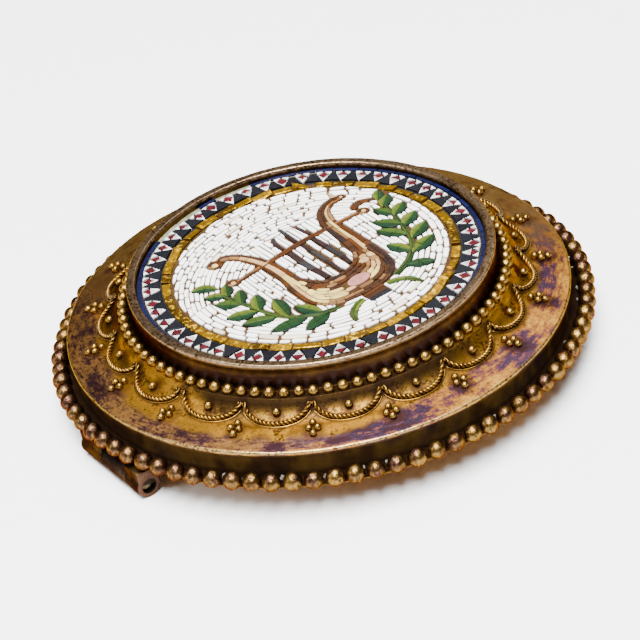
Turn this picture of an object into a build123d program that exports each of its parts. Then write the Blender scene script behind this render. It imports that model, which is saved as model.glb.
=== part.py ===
"""Round micromosaic brooch: a lyre between two laurel branches, set in a gold mount.

Millimetres, +Z up out of the picture, +Y towards the picture's top. The brooch lies face up
on Z = 0, which touches the hinge tube and the catch under its back. The disc's axis is Z.
"""
import os
from math import atan2, cos, degrees, hypot, radians, sin, sqrt

from build123d import *

os.makedirs("parts", exist_ok=True)

# Clearances
SEAT_GAP = 0.05
JOINT_GAP = 0.1
SOLDER_SINK = 0.1
BEAD_SINK = 0.2

# Back plate and the beads around it
BACK_RADIUS = 20.0
BACK_THICKNESS = 0.4
EDGE_BEAD_COUNT = 85
EDGE_BEAD_DIAMETER = 1.4
EDGE_BEAD_RING_RADIUS = 20.32

# Raised flange, with its lip, and the flare up to the ledge; heights are above the back plate
WALL_RADIUS = 19.05
FLANGE_RADIUS = 19.26
LIP_HEIGHT = 0.5
LIP_ROUNDING = 0.2
LIP_ARC_RADIUS = 0.22
FLANGE_HEIGHT = 2.24
FLANGE_SLOPE = 0.18
FLARE_RADIUS = 16.9
LEDGE_RADIUS = 15.3
LEDGE_HEIGHT = 3.94
LEDGE_EDGE = 0.24

# Bezel collar that holds the mosaic
COLLAR_FOOT_RADIUS = 14.2
COLLAR_WAIST = 0.12
BEZEL_RADIUS = 14.02
BEZEL_WALL = 0.7
BEZEL_HEIGHT = 6.05
RIM_DEPTH = 0.45
RIM_ROUNDING = 0.16
RIM_ARC_RADIUS = 0.35

# Beads on the ledge
LEDGE_BEAD_COUNT = 86
LEDGE_BEAD_DIAMETER = 0.88
LEDGE_BEAD_RING_RADIUS = 14.65

# Wire scallops, with a ball in each and a group of four balls between each two
SCALLOP_COUNT = 19
SCALLOP_TURN = 15.7
SCALLOP_WIRE_DIAMETER = 0.5
SCALLOP_TIP_RADIUS = 16.7
LONE_BALL_DIAMETER = 0.66
LONE_BALL_RADIUS = 15.8
CLUSTER_BALL_DIAMETER = 0.56
CLUSTER_RADIUS = 17.25
CLUSTER_LENGTH = 1.05
CLUSTER_WIDTH = 0.64

# Hinge tube under the left edge of the back, and the pin through it
HINGE_DIAMETER = 1.9
HINGE_AXIS_X = -19.65
HINGE_FRONT_Y = -5.35
FRONT_KNUCKLE = 1.9
PIN_KNUCKLE = 3.2
BACK_KNUCKLE = 2.8
KNUCKLE_GAP = 0.08
KNUCKLE_LIFT = 0.35
HINGE_FOOT_WIDTH = 1.6
HINGE_FOOT_REACH = 1.0
HINGE_FOOT_DEPTH = 0.85
RIVET_DIAMETER = 1.05
RIVET_RECESS = 0.4
STEM_DIAMETER = 0.84
STEM_POINT = 6.0
STEM_POINT_DIAMETER = 0.2
STEM_OVERHANG = 1.1

# Catch under the right edge: a bent strip, open towards the picture's foot
CATCH_X = 18.0
CATCH_WIDTH = 2.6
CATCH_FLAT = 1.6

# Mosaic
MOSAIC_DEPTH = 0.8
BLUE_WIDTH = 0.35
TRIANGLE_BAND = 1.35
TRIANGLE_COUNT = 50
DIAMOND_HEIGHT = 0.56
DIAMOND_WIDTH = 0.6
DIAMOND_INSET = 0.46
GOLD_BAND = 0.75
GOLD_COUNT = 41

# Stretches of the blue ring that have fallen out: start and end angle
BLUE_LOSSES = ((79, 90), (102, 119))

# The picture's tables count in parts of which the white ground's radius has so many; their
# curves are drawn with so many straight sides from point to point, and pieces of the ground
# between shapes that all but touch are left out below this volume
PICTURE_RADIUS = 106
CURVE_STEPS = 4
CRUMB_VOLUME = 0.15

# Heights and places that follow
HINGE_RADIUS = HINGE_DIAMETER / 2
HINGE_Z = HINGE_RADIUS
BACK_Z = HINGE_DIAMETER + KNUCKLE_LIFT
SEAT_Z = BACK_Z + BACK_THICKNESS
FLANGE_Z = SEAT_Z + FLANGE_HEIGHT
LEDGE_Z = SEAT_Z + LEDGE_HEIGHT
BEZEL_Z = SEAT_Z + BEZEL_HEIGHT
POCKET_RADIUS = BEZEL_RADIUS - BEZEL_WALL
FLARE_Z = FLANGE_Z + FLANGE_SLOPE * (FLANGE_RADIUS - FLARE_RADIUS)
LEDGE_EDGE_Z = LEDGE_Z - LEDGE_EDGE
FLARE_RUN = FLARE_RADIUS - LEDGE_RADIUS
FLARE_RISE = LEDGE_EDGE_Z - FLARE_Z
FLARE_CURVE = (FLARE_RUN**2 + FLARE_RISE**2) / (2 * FLARE_RISE)

PIN_FRONT_Y = HINGE_FRONT_Y + FRONT_KNUCKLE + KNUCKLE_GAP
PIN_BACK_Y = PIN_FRONT_Y + PIN_KNUCKLE
HINGE_BACK_Y = PIN_BACK_Y + KNUCKLE_GAP + BACK_KNUCKLE
STEM_Y = (PIN_FRONT_Y + PIN_BACK_Y) / 2
STEM_RADIUS = STEM_DIAMETER / 2
CATCH_INNER = STEM_RADIUS + SEAT_GAP
CATCH_SHEET = HINGE_RADIUS - CATCH_INNER
CATCH_OUTER = CATCH_INNER + CATCH_SHEET

MOSAIC_Z = BEZEL_Z - RIM_DEPTH
TILE_Z = MOSAIC_Z - MOSAIC_DEPTH
BLUE_OUTER = POCKET_RADIUS - SEAT_GAP
BLUE_INNER = BLUE_OUTER - BLUE_WIDTH
TRIANGLE_OUTER = BLUE_INNER - JOINT_GAP
TRIANGLE_INNER = TRIANGLE_OUTER - TRIANGLE_BAND
GOLD_OUTER = TRIANGLE_INNER - JOINT_GAP
GOLD_INNER = GOLD_OUTER - GOLD_BAND
GROUND_RADIUS = GOLD_INNER - JOINT_GAP
UNIT = GROUND_RADIUS / PICTURE_RADIUS

# Bands of the lyre: x, y and half width along each
LEFT_ARM = (
    (-47, 55, 3.4),
    (-42, 54, 4.2),
    (-36.5, 49, 4.4),
    (-32, 42, 4.6),
    (-28.5, 33, 5.2),
    (-25.8, 23, 5.4),
    (-24.7, 12, 5.5),
    (-24.5, 0, 6),
    (-25, -10, 7),
    (-25.3, -18, 8),
)
RIGHT_ARM = (
    (70, 57, 3),
    (65, 57.5, 4),
    (58, 56.5, 4.2),
    (50.5, 52, 4.8),
    (45.5, 45, 5.6),
    (42, 35, 6.4),
    (40.5, 24, 6.8),
    (40, 12, 7.2),
    (39.5, 0, 7.8),
    (38.6, -10, 8.4),
    (37.5, -18, 9),
)
CROSSBAR = (
    (-54, 19.8, 2.2),
    (-40, 21.8, 2.4),
    (-22, 23.8, 2.5),
    (0, 26.8, 2.6),
    (20, 28.4, 2.6),
    (42, 28, 2.5),
    (66, 28, 2.4),
)
HORN_TIP = ((66, 60, 2.4), (66.5, 70, 0.6))
TAIL_SCROLL = ((67.5, 34.5, 1.6), (73, 39, 2.6), (79, 38, 2), (87, 33.5, 1))

# Round knobs of the lyre: x, y and radius
KNOBS = ((-53.5, 52, 6.2), (-57.2, 21, 5.2), (70.5, 27, 4.8), (70.5, 57.5, 3.8))

# Sound box of the lyre: its outer curve, from the left arm round to the right one, and the
# curve under the strings, back again
BODY_OUTER = (
    (-32.8, -14),
    (-33.8, -26),
    (-34, -40),
    (-31.5, -50.5),
    (-24.5, -59),
    (-14, -64.5),
    (2, -66.2),
    (18, -65.8),
    (31, -61.5),
    (40.5, -53.5),
    (45.5, -43),
    (46.8, -30),
    (46.6, -14),
)
BODY_INNER = (
    (29.5, -14),
    (26, -20.5),
    (20, -26.5),
    (11, -29.5),
    (3, -30.5),
    (-6, -29.5),
    (-12.5, -23.5),
    (-17.5, -14),
)
FOOT = ((0, -63), (19, -63), (19.5, -79), (0.5, -78.5))

# Strings: x, y and half width along each
STRINGS = (
    ((-3.5, 22, 2.4), (-4.5, 8, 2.7), (-4.2, -10, 2.7), (-3, -28, 2.4)),
    ((9.5, 23.5, 1.6), (9.5, 0, 1.7), (9.2, -28, 1.6)),
    ((20.2, 24.5, 2), (21.2, 5, 2.2), (21.5, -10, 2), (20.2, -24.5, 1.6)),
    ((-5, 30, 1.5), (-4.2, 42, 1.5), (-1, 49, 1.2)),
    ((8.7, 31, 1.6), (9, 43, 1.5), (9.7, 55.5, 1.2)),
    ((22, 32.5, 1.5), (21.2, 41, 1.5), (21, 47.5, 1)),
)

# Laurel stems, and the bent shoot at the foot of each: x, y and half width along each
LEFT_STEM = (
    (-20, -66.5, 2.2),
    (-30, -64.5, 2.4),
    (-43, -58.5, 2.4),
    (-56, -47, 2.2),
    (-62, -33, 2),
    (-66, -17, 1.8),
    (-70, -2, 1.6),
    (-72.5, 14, 1.4),
)
RIGHT_STEM = (
    (33, -63.5, 2.2),
    (44, -59.5, 2.4),
    (56, -52, 2.4),
    (66, -42, 2.2),
    (73, -30, 2),
    (77.5, -16, 1.8),
    (82, 0, 1.6),
    (87, 20, 1.3),
)
LEFT_SHOOT = ((-3, -71.5, 2.4), (-12, -75.5, 2.8), (-19, -82, 2.6), (-23, -91, 1.2))
RIGHT_SHOOT = ((22.5, -68.5, 2.4), (32, -71, 2.8), (38.5, -77.5, 2.6), (42, -87, 1.2))

# Laurel leaves: x and y of the base, x and y of the tip, half width and sideways bow
LEFT_LEAVES = (
    (-71, 22, -87, 35, 5.2, -3),
    (-71, 11, -85, 20, 4.8, 0),
    (-69.5, -8, -84, 7, 6.2, 0),
    (-66, -25.5, -88.5, -15.5, 6, 0),
    (-61, -42, -84.5, -31, 6.4, 0),
    (-45, -59.5, -75, -55, 6, 0),
    (-30, -66.5, -55.5, -72.5, 5.6, 0),
    (-71, 8, -62.5, 24, 4.6, 0),
    (-69.5, -8, -59, 10, 4.8, 0),
    (-64.5, -25, -54.5, -5, 5.6, 0),
    (-54, -48.5, -48.5, -20, 5.8, 0),
    (-33.5, -63, -43.5, -40, 5.6, 0),
)
RIGHT_LEAVES = (
    (87, 30, 96.5, 43, 4.6, 0),
    (84, 20, 98, 32, 5.6, 0),
    (82.5, 3, 99.5, 13.5, 5.6, 0),
    (78, -14.5, 98, -4, 5.8, 0),
    (72, -33.5, 94.5, -22, 6.2, 0),
    (60, -50, 87, -41.5, 6.4, 0),
    (46, -59, 66.5, -71.5, 5.6, 0),
    (84.5, 3, 77, 23, 4.8, 0),
    (79.5, -11.5, 65, 8.5, 5.6, 0),
    (73, -26.5, 60, -3.5, 5.8, 0),
    (61.5, -47, 53.5, -25.5, 5.8, 0),
)


def flare_height(radius):
    """Height of the mount's face at a distance from the axis: a slope, then a circular flare."""
    run = FLARE_RADIUS - radius
    if run <= 0:
        return FLANGE_Z + FLANGE_SLOPE * (FLANGE_RADIUS - radius)
    return FLARE_Z + FLARE_CURVE - sqrt(FLARE_CURVE**2 - run**2)


def polar(radius, angle, height=0.0):
    """Point at a distance and angle about the disc's axis."""
    return (radius * cos(radians(angle)), radius * sin(radians(angle)), height)


def smooth(rows):
    """Rows of a table, with more set between them along a smooth curve through them all."""
    result = []
    ends = [rows[0], *rows, rows[-1]]
    for before, start, end, after in zip(ends, ends[1:], ends[2:], ends[3:]):
        for i in range(CURVE_STEPS):
            t = i / CURVE_STEPS
            row = []
            for p, q, r, s in zip(before, start, end, after):
                bend = p - 2.5 * q + 2 * r - s / 2 + t * (1.5 * (q - r) + (s - p) / 2)
                row.append(q + t * ((r - p) / 2 + t * bend))
            result.append(row)
    return result + [rows[-1]]


def polygon(corners, grow, corner_kind=Kind.INTERSECTION):
    """Flat shape with straight sides, moved outwards all round by grow, or inwards below zero."""
    with BuildSketch(mode=Mode.PRIVATE) as outline:
        with BuildLine():
            Polyline(*corners, close=True)
        make_face()
        if grow:
            offset(amount=grow, kind=corner_kind)
    return outline.sketch


def band(rows, grow):
    """Flat band along a table of x, y and half width, made wider and longer all round by grow."""
    rows = smooth(rows)
    left = []
    right = []
    for i, (x, y, half) in enumerate(rows):
        ax, ay, _ = rows[max(i - 1, 0)]
        bx, by, _ = rows[min(i + 1, len(rows) - 1)]
        length = hypot(bx - ax, by - ay)
        tx, ty = (bx - ax) / length, (by - ay) / length
        along = grow if i == len(rows) - 1 else -grow if i == 0 else 0
        side = half * UNIT + grow
        mx, my = x * UNIT + tx * along, y * UNIT + ty * along
        left.append((mx - ty * side, my + tx * side))
        right.append((mx + ty * side, my - tx * side))
    return polygon(left + right[::-1], 0)


def leaf(row, grow):
    """Flat leaf with two arched edges from base to tip, bowed sideways, made larger by grow."""
    x0, y0, x1, y1, half, bow = [value * UNIT for value in row]
    length = hypot(x1 - x0, y1 - y0)
    tx, ty = (x1 - x0) / length, (y1 - y0) / length
    base = (x0 - tx * grow, y0 - ty * grow)
    tip = (x1 + tx * grow, y1 + ty * grow)
    mx, my = (x0 + x1) / 2 - ty * bow, (y0 + y1) / 2 + tx * bow
    side = half + grow
    with BuildSketch(mode=Mode.PRIVATE) as outline:
        with BuildLine():
            ThreePointArc(base, (mx - ty * side, my + tx * side), tip)
            ThreePointArc(tip, (mx + ty * side, my - tx * side), base)
        make_face()
    return outline.sketch


def lyre_body(grow):
    """Flat outline of the sound box, between its outer curve and the curve under the strings."""
    corners = smooth(BODY_OUTER) + smooth(BODY_INNER)
    return polygon([(x * UNIT, y * UNIT) for x, y in corners], grow)


def lyre_faces(grow):
    """Flat outlines that make up the lyre without its strings."""
    faces = [lyre_body(grow), polygon([(x * UNIT, y * UNIT) for x, y in FOOT], grow)]
    for rows in (LEFT_ARM, RIGHT_ARM, CROSSBAR, HORN_TIP, TAIL_SCROLL):
        faces.append(band(rows, grow))
    for x, y, radius in KNOBS:
        with BuildSketch(mode=Mode.PRIVATE) as knob:
            with Locations((x * UNIT, y * UNIT)):
                Circle(radius * UNIT + grow)
        faces.append(knob.sketch)
    return faces


def strings_faces(grow):
    """Flat outlines of the strings."""
    return [band(rows, grow) for rows in STRINGS]


def branch_faces(stem, shoot, leaves, grow):
    """Flat outlines that make up one laurel branch."""
    return [band(stem, grow), band(shoot, grow)] + [leaf(row, grow) for row in leaves]


def tiles(faces, mode=Mode.ADD):
    """Stones of the mosaic's depth over flat outlines, added to the part or taken from it."""
    for face in faces:
        with BuildSketch(Plane.XY.offset(TILE_Z), mode=Mode.PRIVATE) as layer:
            add(face)
        extrude(layer.sketch, amount=MOSAIC_DEPTH, mode=mode)


def ring_sector(outer, inner, start, end):
    """Flat piece of a ring between two angles about the disc's axis."""
    middle = (start + end) / 2
    with BuildSketch(mode=Mode.PRIVATE) as outline:
        with BuildLine():
            Line(polar(inner, start), polar(outer, start))
            ThreePointArc(polar(outer, start), polar(outer, middle), polar(outer, end))
            Line(polar(outer, end), polar(inner, end))
            ThreePointArc(polar(inner, end), polar(inner, middle), polar(inner, start))
        make_face()
    return outline.sketch


# Gold mount: back plate, flange, flare, ledge and bezel turned in one, with beads, wire and
# balls soldered on its face, and two hinge knuckles and the catch under its back
with BuildPart() as gold_mount:
    with BuildSketch(Plane.XZ):
        with BuildLine():
            Polyline(
                (0, SEAT_Z),
                (0, BACK_Z),
                (BACK_RADIUS, BACK_Z),
                (BACK_RADIUS, SEAT_Z),
                (WALL_RADIUS, SEAT_Z),
                (WALL_RADIUS, FLANGE_Z - LIP_HEIGHT),
                (FLANGE_RADIUS, FLANGE_Z - LIP_HEIGHT + LIP_ROUNDING),
                (FLANGE_RADIUS, FLANGE_Z - LIP_ROUNDING),
            )
            RadiusArc(
                (FLANGE_RADIUS, FLANGE_Z - LIP_ROUNDING),
                (FLANGE_RADIUS - LIP_ROUNDING, flare_height(FLANGE_RADIUS - LIP_ROUNDING)),
                -LIP_ARC_RADIUS,
            )
            Line(
                (FLANGE_RADIUS - LIP_ROUNDING, flare_height(FLANGE_RADIUS - LIP_ROUNDING)),
                (FLARE_RADIUS, FLARE_Z),
            )
            ThreePointArc(
                (FLARE_RADIUS, FLARE_Z),
                (LEDGE_RADIUS + FLARE_RUN / 2, flare_height(LEDGE_RADIUS + FLARE_RUN / 2)),
                (LEDGE_RADIUS, LEDGE_EDGE_Z),
            )
            RadiusArc(
                (LEDGE_RADIUS, LEDGE_EDGE_Z),
                (LEDGE_RADIUS - LEDGE_EDGE / 2, LEDGE_Z),
                -LEDGE_EDGE,
            )
            Line((LEDGE_RADIUS - LEDGE_EDGE / 2, LEDGE_Z), (COLLAR_FOOT_RADIUS, LEDGE_Z))
            ThreePointArc(
                (COLLAR_FOOT_RADIUS, LEDGE_Z),
                ((COLLAR_FOOT_RADIUS + BEZEL_RADIUS) / 2 - COLLAR_WAIST, (LEDGE_Z + BEZEL_Z) / 2),
                (BEZEL_RADIUS, BEZEL_Z - 2 * RIM_ROUNDING),
            )
            RadiusArc(
                (BEZEL_RADIUS, BEZEL_Z - 2 * RIM_ROUNDING),
                (BEZEL_RADIUS - RIM_ROUNDING, BEZEL_Z),
                -RIM_ARC_RADIUS,
            )
            Polyline(
                (BEZEL_RADIUS - RIM_ROUNDING, BEZEL_Z),
                (POCKET_RADIUS + RIM_ROUNDING, BEZEL_Z),
                (POCKET_RADIUS, BEZEL_Z - RIM_ROUNDING),
                (POCKET_RADIUS, SEAT_Z),
                (0, SEAT_Z),
            )
        make_face()
    revolve(axis=Axis.Z)

    # Beads around the back plate and on the ledge
    with Locations((0, 0, SEAT_Z + EDGE_BEAD_DIAMETER / 2 - BEAD_SINK)):
        with PolarLocations(EDGE_BEAD_RING_RADIUS, EDGE_BEAD_COUNT):
            Sphere(EDGE_BEAD_DIAMETER / 2)
    with Locations((0, 0, LEDGE_Z + LEDGE_BEAD_DIAMETER / 2 - BEAD_SINK)):
        with PolarLocations(LEDGE_BEAD_RING_RADIUS, LEDGE_BEAD_COUNT):
            Sphere(LEDGE_BEAD_DIAMETER / 2)

    # Wire scallops along the flare, joined to it all at once
    foot_angle = 180 / SCALLOP_COUNT
    foot_height = flare_height(LEDGE_RADIUS)
    with BuildLine(mode=Mode.PRIVATE) as scallop:
        ThreePointArc(
            polar(LEDGE_RADIUS, SCALLOP_TURN - foot_angle, foot_height),
            polar(SCALLOP_TIP_RADIUS, SCALLOP_TURN, flare_height(SCALLOP_TIP_RADIUS)),
            polar(LEDGE_RADIUS, SCALLOP_TURN + foot_angle, foot_height),
        )
    arch = scallop.line.edges()[0]
    with BuildSketch(Plane(origin=arch @ 0, z_dir=arch % 0), mode=Mode.PRIVATE) as wire_section:
        Circle(SCALLOP_WIRE_DIAMETER / 2)
    wire = sweep(wire_section.sketch, path=arch, mode=Mode.PRIVATE)
    add([wire.rotate(Axis.Z, i * 360 / SCALLOP_COUNT) for i in range(SCALLOP_COUNT)])

    # Balls on the flare
    cluster_turn = SCALLOP_TURN + 180 / SCALLOP_COUNT
    across = degrees(atan2(CLUSTER_WIDTH / 2, CLUSTER_RADIUS))
    balls = (
        (LONE_BALL_DIAMETER, LONE_BALL_RADIUS, SCALLOP_TURN),
        (CLUSTER_BALL_DIAMETER, CLUSTER_RADIUS - CLUSTER_LENGTH / 2, cluster_turn),
        (CLUSTER_BALL_DIAMETER, CLUSTER_RADIUS + CLUSTER_LENGTH / 2, cluster_turn),
        (CLUSTER_BALL_DIAMETER, CLUSTER_RADIUS, cluster_turn - across),
        (CLUSTER_BALL_DIAMETER, CLUSTER_RADIUS, cluster_turn + across),
    )
    for diameter, radius, turn in balls:
        with Locations((0, 0, flare_height(radius) + diameter / 2 - SOLDER_SINK)):
            with PolarLocations(radius, SCALLOP_COUNT, start_angle=turn):
                Sphere(diameter / 2)

    # Hinge knuckles, each on a foot that spreads under the back, and the bore for the rivet
    spans = ((HINGE_FRONT_Y, FRONT_KNUCKLE), (PIN_BACK_Y + KNUCKLE_GAP, BACK_KNUCKLE))
    for start, length in spans:
        with BuildSketch(Plane(origin=(HINGE_AXIS_X, start, 0), x_dir=(1, 0, 0), z_dir=(0, -1, 0))):
            with Locations((0, HINGE_Z)):
                Circle(HINGE_RADIUS)
            with Locations((0, (HINGE_Z + BACK_Z) / 2)):
                Rectangle(HINGE_FOOT_WIDTH, BACK_Z - HINGE_Z)
            with Locations(((HINGE_RADIUS + HINGE_FOOT_REACH) / 2, BACK_Z - HINGE_FOOT_DEPTH / 2)):
                Rectangle(HINGE_RADIUS + HINGE_FOOT_REACH, HINGE_FOOT_DEPTH)
        extrude(amount=-length)
    with BuildSketch(Plane(origin=(HINGE_AXIS_X, HINGE_FRONT_Y, 0), x_dir=(1, 0, 0), z_dir=(0, -1, 0))):
        with Locations((0, HINGE_Z)):
            Circle(RIVET_DIAMETER / 2 + SEAT_GAP)
    extrude(amount=HINGE_FRONT_Y - HINGE_BACK_Y, mode=Mode.SUBTRACT)

    # Catch: one wall down from the back, bent under the stem and up on its other side
    catch_plane = Plane(origin=(CATCH_X - CATCH_WIDTH / 2, STEM_Y, 0), x_dir=(0, 1, 0), z_dir=(1, 0, 0))
    with BuildSketch(catch_plane):
        with Locations((0, HINGE_Z)):
            Circle(CATCH_OUTER)
        with Locations((CATCH_FLAT, HINGE_Z)):
            Circle(CATCH_OUTER)
        with Locations((CATCH_FLAT / 2, HINGE_Z)):
            Rectangle(CATCH_FLAT, 2 * CATCH_OUTER)
        with Locations((CATCH_FLAT / 2, HINGE_Z)):
            Rectangle(CATCH_FLAT, 2 * CATCH_INNER, mode=Mode.SUBTRACT)
        with Locations((0, HINGE_Z), (CATCH_FLAT, HINGE_Z)):
            Circle(CATCH_INNER, mode=Mode.SUBTRACT)
        with Locations((CATCH_FLAT / 2, HINGE_Z + CATCH_OUTER)):
            Rectangle(2 * CATCH_OUTER + CATCH_FLAT, 2 * CATCH_OUTER, mode=Mode.SUBTRACT)
        with Locations((CATCH_FLAT + CATCH_INNER + CATCH_SHEET / 2, (HINGE_Z + BACK_Z) / 2)):
            Rectangle(CATCH_SHEET, BACK_Z - HINGE_Z)
    extrude(amount=CATCH_WIDTH)
gold_mount.part.label = "gold_mount"
export_step(gold_mount.part, "parts/gold_mount.step")

# Rivet through the hinge, short of both its ends
with BuildPart() as hinge_rivet:
    rivet_length = HINGE_BACK_Y - HINGE_FRONT_Y - 2 * RIVET_RECESS
    rivet_start = (HINGE_AXIS_X, HINGE_FRONT_Y + RIVET_RECESS, HINGE_Z)
    with BuildSketch(Plane(origin=rivet_start, z_dir=(0, 1, 0))):
        Circle(RIVET_DIAMETER / 2)
    extrude(amount=rivet_length)
hinge_rivet.part.label = "hinge_rivet"
export_step(hinge_rivet.part, "parts/hinge_rivet.step")

# Pin: the middle knuckle and its stem, which runs through the catch to a point
with BuildPart() as pin_stem:
    with BuildSketch(Plane(origin=(HINGE_AXIS_X, PIN_FRONT_Y, HINGE_Z), z_dir=(0, 1, 0))):
        Circle(HINGE_RADIUS)
    extrude(amount=PIN_KNUCKLE)
    stem_end = CATCH_X + CATCH_WIDTH / 2 + STEM_OVERHANG
    with BuildSketch(Plane(origin=(HINGE_AXIS_X, STEM_Y, HINGE_Z), x_dir=(1, 0, 0), z_dir=(0, -1, 0))):
        with BuildLine():
            Polyline(
                (0, 0),
                (0, STEM_RADIUS),
                (stem_end - STEM_POINT - HINGE_AXIS_X, STEM_RADIUS),
                (stem_end - HINGE_AXIS_X, STEM_POINT_DIAMETER / 2),
                (stem_end - HINGE_AXIS_X, 0),
                (0, 0),
            )
        make_face()
    revolve(axis=Axis((HINGE_AXIS_X, STEM_Y, HINGE_Z), (1, 0, 0)))
    with BuildSketch(Plane(origin=(HINGE_AXIS_X, PIN_FRONT_Y, HINGE_Z), z_dir=(0, 1, 0))):
        Circle(RIVET_DIAMETER / 2 + SEAT_GAP)
    extrude(amount=PIN_KNUCKLE, mode=Mode.SUBTRACT)
pin_stem.part.label = "pin_stem"
export_step(pin_stem.part, "parts/pin_stem.step")

# Slab that carries the mosaic, in the bezel's pocket
with BuildPart() as mosaic_slab:
    with BuildSketch(Plane.XY.offset(SEAT_Z + SEAT_GAP)):
        Circle(BLUE_OUTER)
    extrude(amount=TILE_Z - SEAT_Z - 2 * SEAT_GAP)
mosaic_slab.part.label = "mosaic_slab"
export_step(mosaic_slab.part, "parts/mosaic_slab.step")

# Cobalt ring, with the stretches that have fallen out
with BuildPart() as blue_ring:
    with BuildSketch(Plane.XY.offset(TILE_Z)):
        Circle(BLUE_OUTER)
        Circle(BLUE_INNER, mode=Mode.SUBTRACT)
        for start, end in BLUE_LOSSES:
            loss = ring_sector(BLUE_OUTER + BLUE_WIDTH, BLUE_INNER - BLUE_WIDTH, start, end)
            add(loss, mode=Mode.SUBTRACT)
    extrude(amount=MOSAIC_DEPTH)
blue_ring.part.label = "blue_ring"
export_step(blue_ring.part, "parts/blue_ring.step")

# Border: white triangles that point inwards, each round a red diamond, and slate ones between
half_pitch = 180 / TRIANGLE_COUNT
diamond_radius = TRIANGLE_OUTER - DIAMOND_INSET
diamond_corners = (
    (diamond_radius - DIAMOND_HEIGHT / 2, 0),
    (diamond_radius, -DIAMOND_WIDTH / 2),
    (diamond_radius + DIAMOND_HEIGHT / 2, 0),
    (diamond_radius, DIAMOND_WIDTH / 2),
)
white_corners = [
    polar(TRIANGLE_OUTER, -half_pitch)[:2],
    polar(TRIANGLE_OUTER, half_pitch)[:2],
    (TRIANGLE_INNER, 0),
]
slate_corners = [
    polar(TRIANGLE_INNER, -half_pitch)[:2],
    polar(TRIANGLE_INNER, half_pitch)[:2],
    (TRIANGLE_OUTER, 0),
]
with BuildPart() as white_triangles:
    with BuildSketch(Plane.XY.offset(TILE_Z)):
        with PolarLocations(0, TRIANGLE_COUNT):
            add(polygon(white_corners, -JOINT_GAP / 2))
            add(polygon(diamond_corners, SEAT_GAP), mode=Mode.SUBTRACT)
    extrude(amount=MOSAIC_DEPTH)
white_triangles.part.label = "white_triangles"
export_step(white_triangles.part, "parts/white_triangles.step")

with BuildPart() as slate_triangles:
    with BuildSketch(Plane.XY.offset(TILE_Z)):
        with PolarLocations(0, TRIANGLE_COUNT, start_angle=half_pitch):
            add(polygon(slate_corners, -JOINT_GAP / 2))
    extrude(amount=MOSAIC_DEPTH)
slate_triangles.part.label = "slate_triangles"
export_step(slate_triangles.part, "parts/slate_triangles.step")

with BuildPart() as red_diamonds:
    with BuildSketch(Plane.XY.offset(TILE_Z)):
        with PolarLocations(0, TRIANGLE_COUNT):
            add(polygon(diamond_corners, 0))
    extrude(amount=MOSAIC_DEPTH)
red_diamonds.part.label = "red_diamonds"
export_step(red_diamonds.part, "parts/red_diamonds.step")

# Ring of gold glass pieces
with BuildPart() as gold_ring:
    joint_angle = degrees(JOINT_GAP / GOLD_INNER)
    tile = ring_sector(GOLD_OUTER, GOLD_INNER, 0, 360 / GOLD_COUNT - joint_angle)
    with BuildSketch(Plane.XY.offset(TILE_Z)):
        with PolarLocations(0, GOLD_COUNT):
            add(tile)
    extrude(amount=MOSAIC_DEPTH)
gold_ring.part.label = "gold_ring"
export_step(gold_ring.part, "parts/gold_ring.step")

# Lyre, its strings and the two laurel branches, which stay a joint clear of the lyre
with BuildPart() as lyre:
    tiles(lyre_faces(0))
lyre.part.label = "lyre"
export_step(lyre.part, "parts/lyre.step")

with BuildPart() as lyre_strings:
    tiles(strings_faces(0))
lyre_strings.part.label = "lyre_strings"
export_step(lyre_strings.part, "parts/lyre_strings.step")

with BuildPart() as laurel_left:
    tiles(branch_faces(LEFT_STEM, LEFT_SHOOT, LEFT_LEAVES, 0))
    tiles(lyre_faces(JOINT_GAP), Mode.SUBTRACT)
laurel_left.part.label = "laurel_left"
export_step(laurel_left.part, "parts/laurel_left.step")

with BuildPart() as laurel_right:
    tiles(branch_faces(RIGHT_STEM, RIGHT_SHOOT, RIGHT_LEAVES, 0))
    tiles(lyre_faces(JOINT_GAP), Mode.SUBTRACT)
laurel_right.part.label = "laurel_right"
export_step(laurel_right.part, "parts/laurel_right.step")

# White ground, cut out for the picture with a joint all round it
with BuildPart() as white_ground:
    with BuildSketch(Plane.XY.offset(TILE_Z)):
        Circle(GROUND_RADIUS)
    extrude(amount=MOSAIC_DEPTH)
    tiles(lyre_faces(JOINT_GAP), Mode.SUBTRACT)
    tiles(strings_faces(JOINT_GAP), Mode.SUBTRACT)
    tiles(branch_faces(LEFT_STEM, LEFT_SHOOT, LEFT_LEAVES, JOINT_GAP), Mode.SUBTRACT)
    tiles(branch_faces(RIGHT_STEM, RIGHT_SHOOT, RIGHT_LEAVES, JOINT_GAP), Mode.SUBTRACT)
    kept = [piece for piece in white_ground.part.solids() if piece.volume > CRUMB_VOLUME]
    add(kept, mode=Mode.REPLACE)
white_ground.part.label = "white_ground"
export_step(white_ground.part, "parts/white_ground.step")
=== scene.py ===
import math

import bpy
import numpy as np
from mathutils import Matrix, Vector


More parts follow.
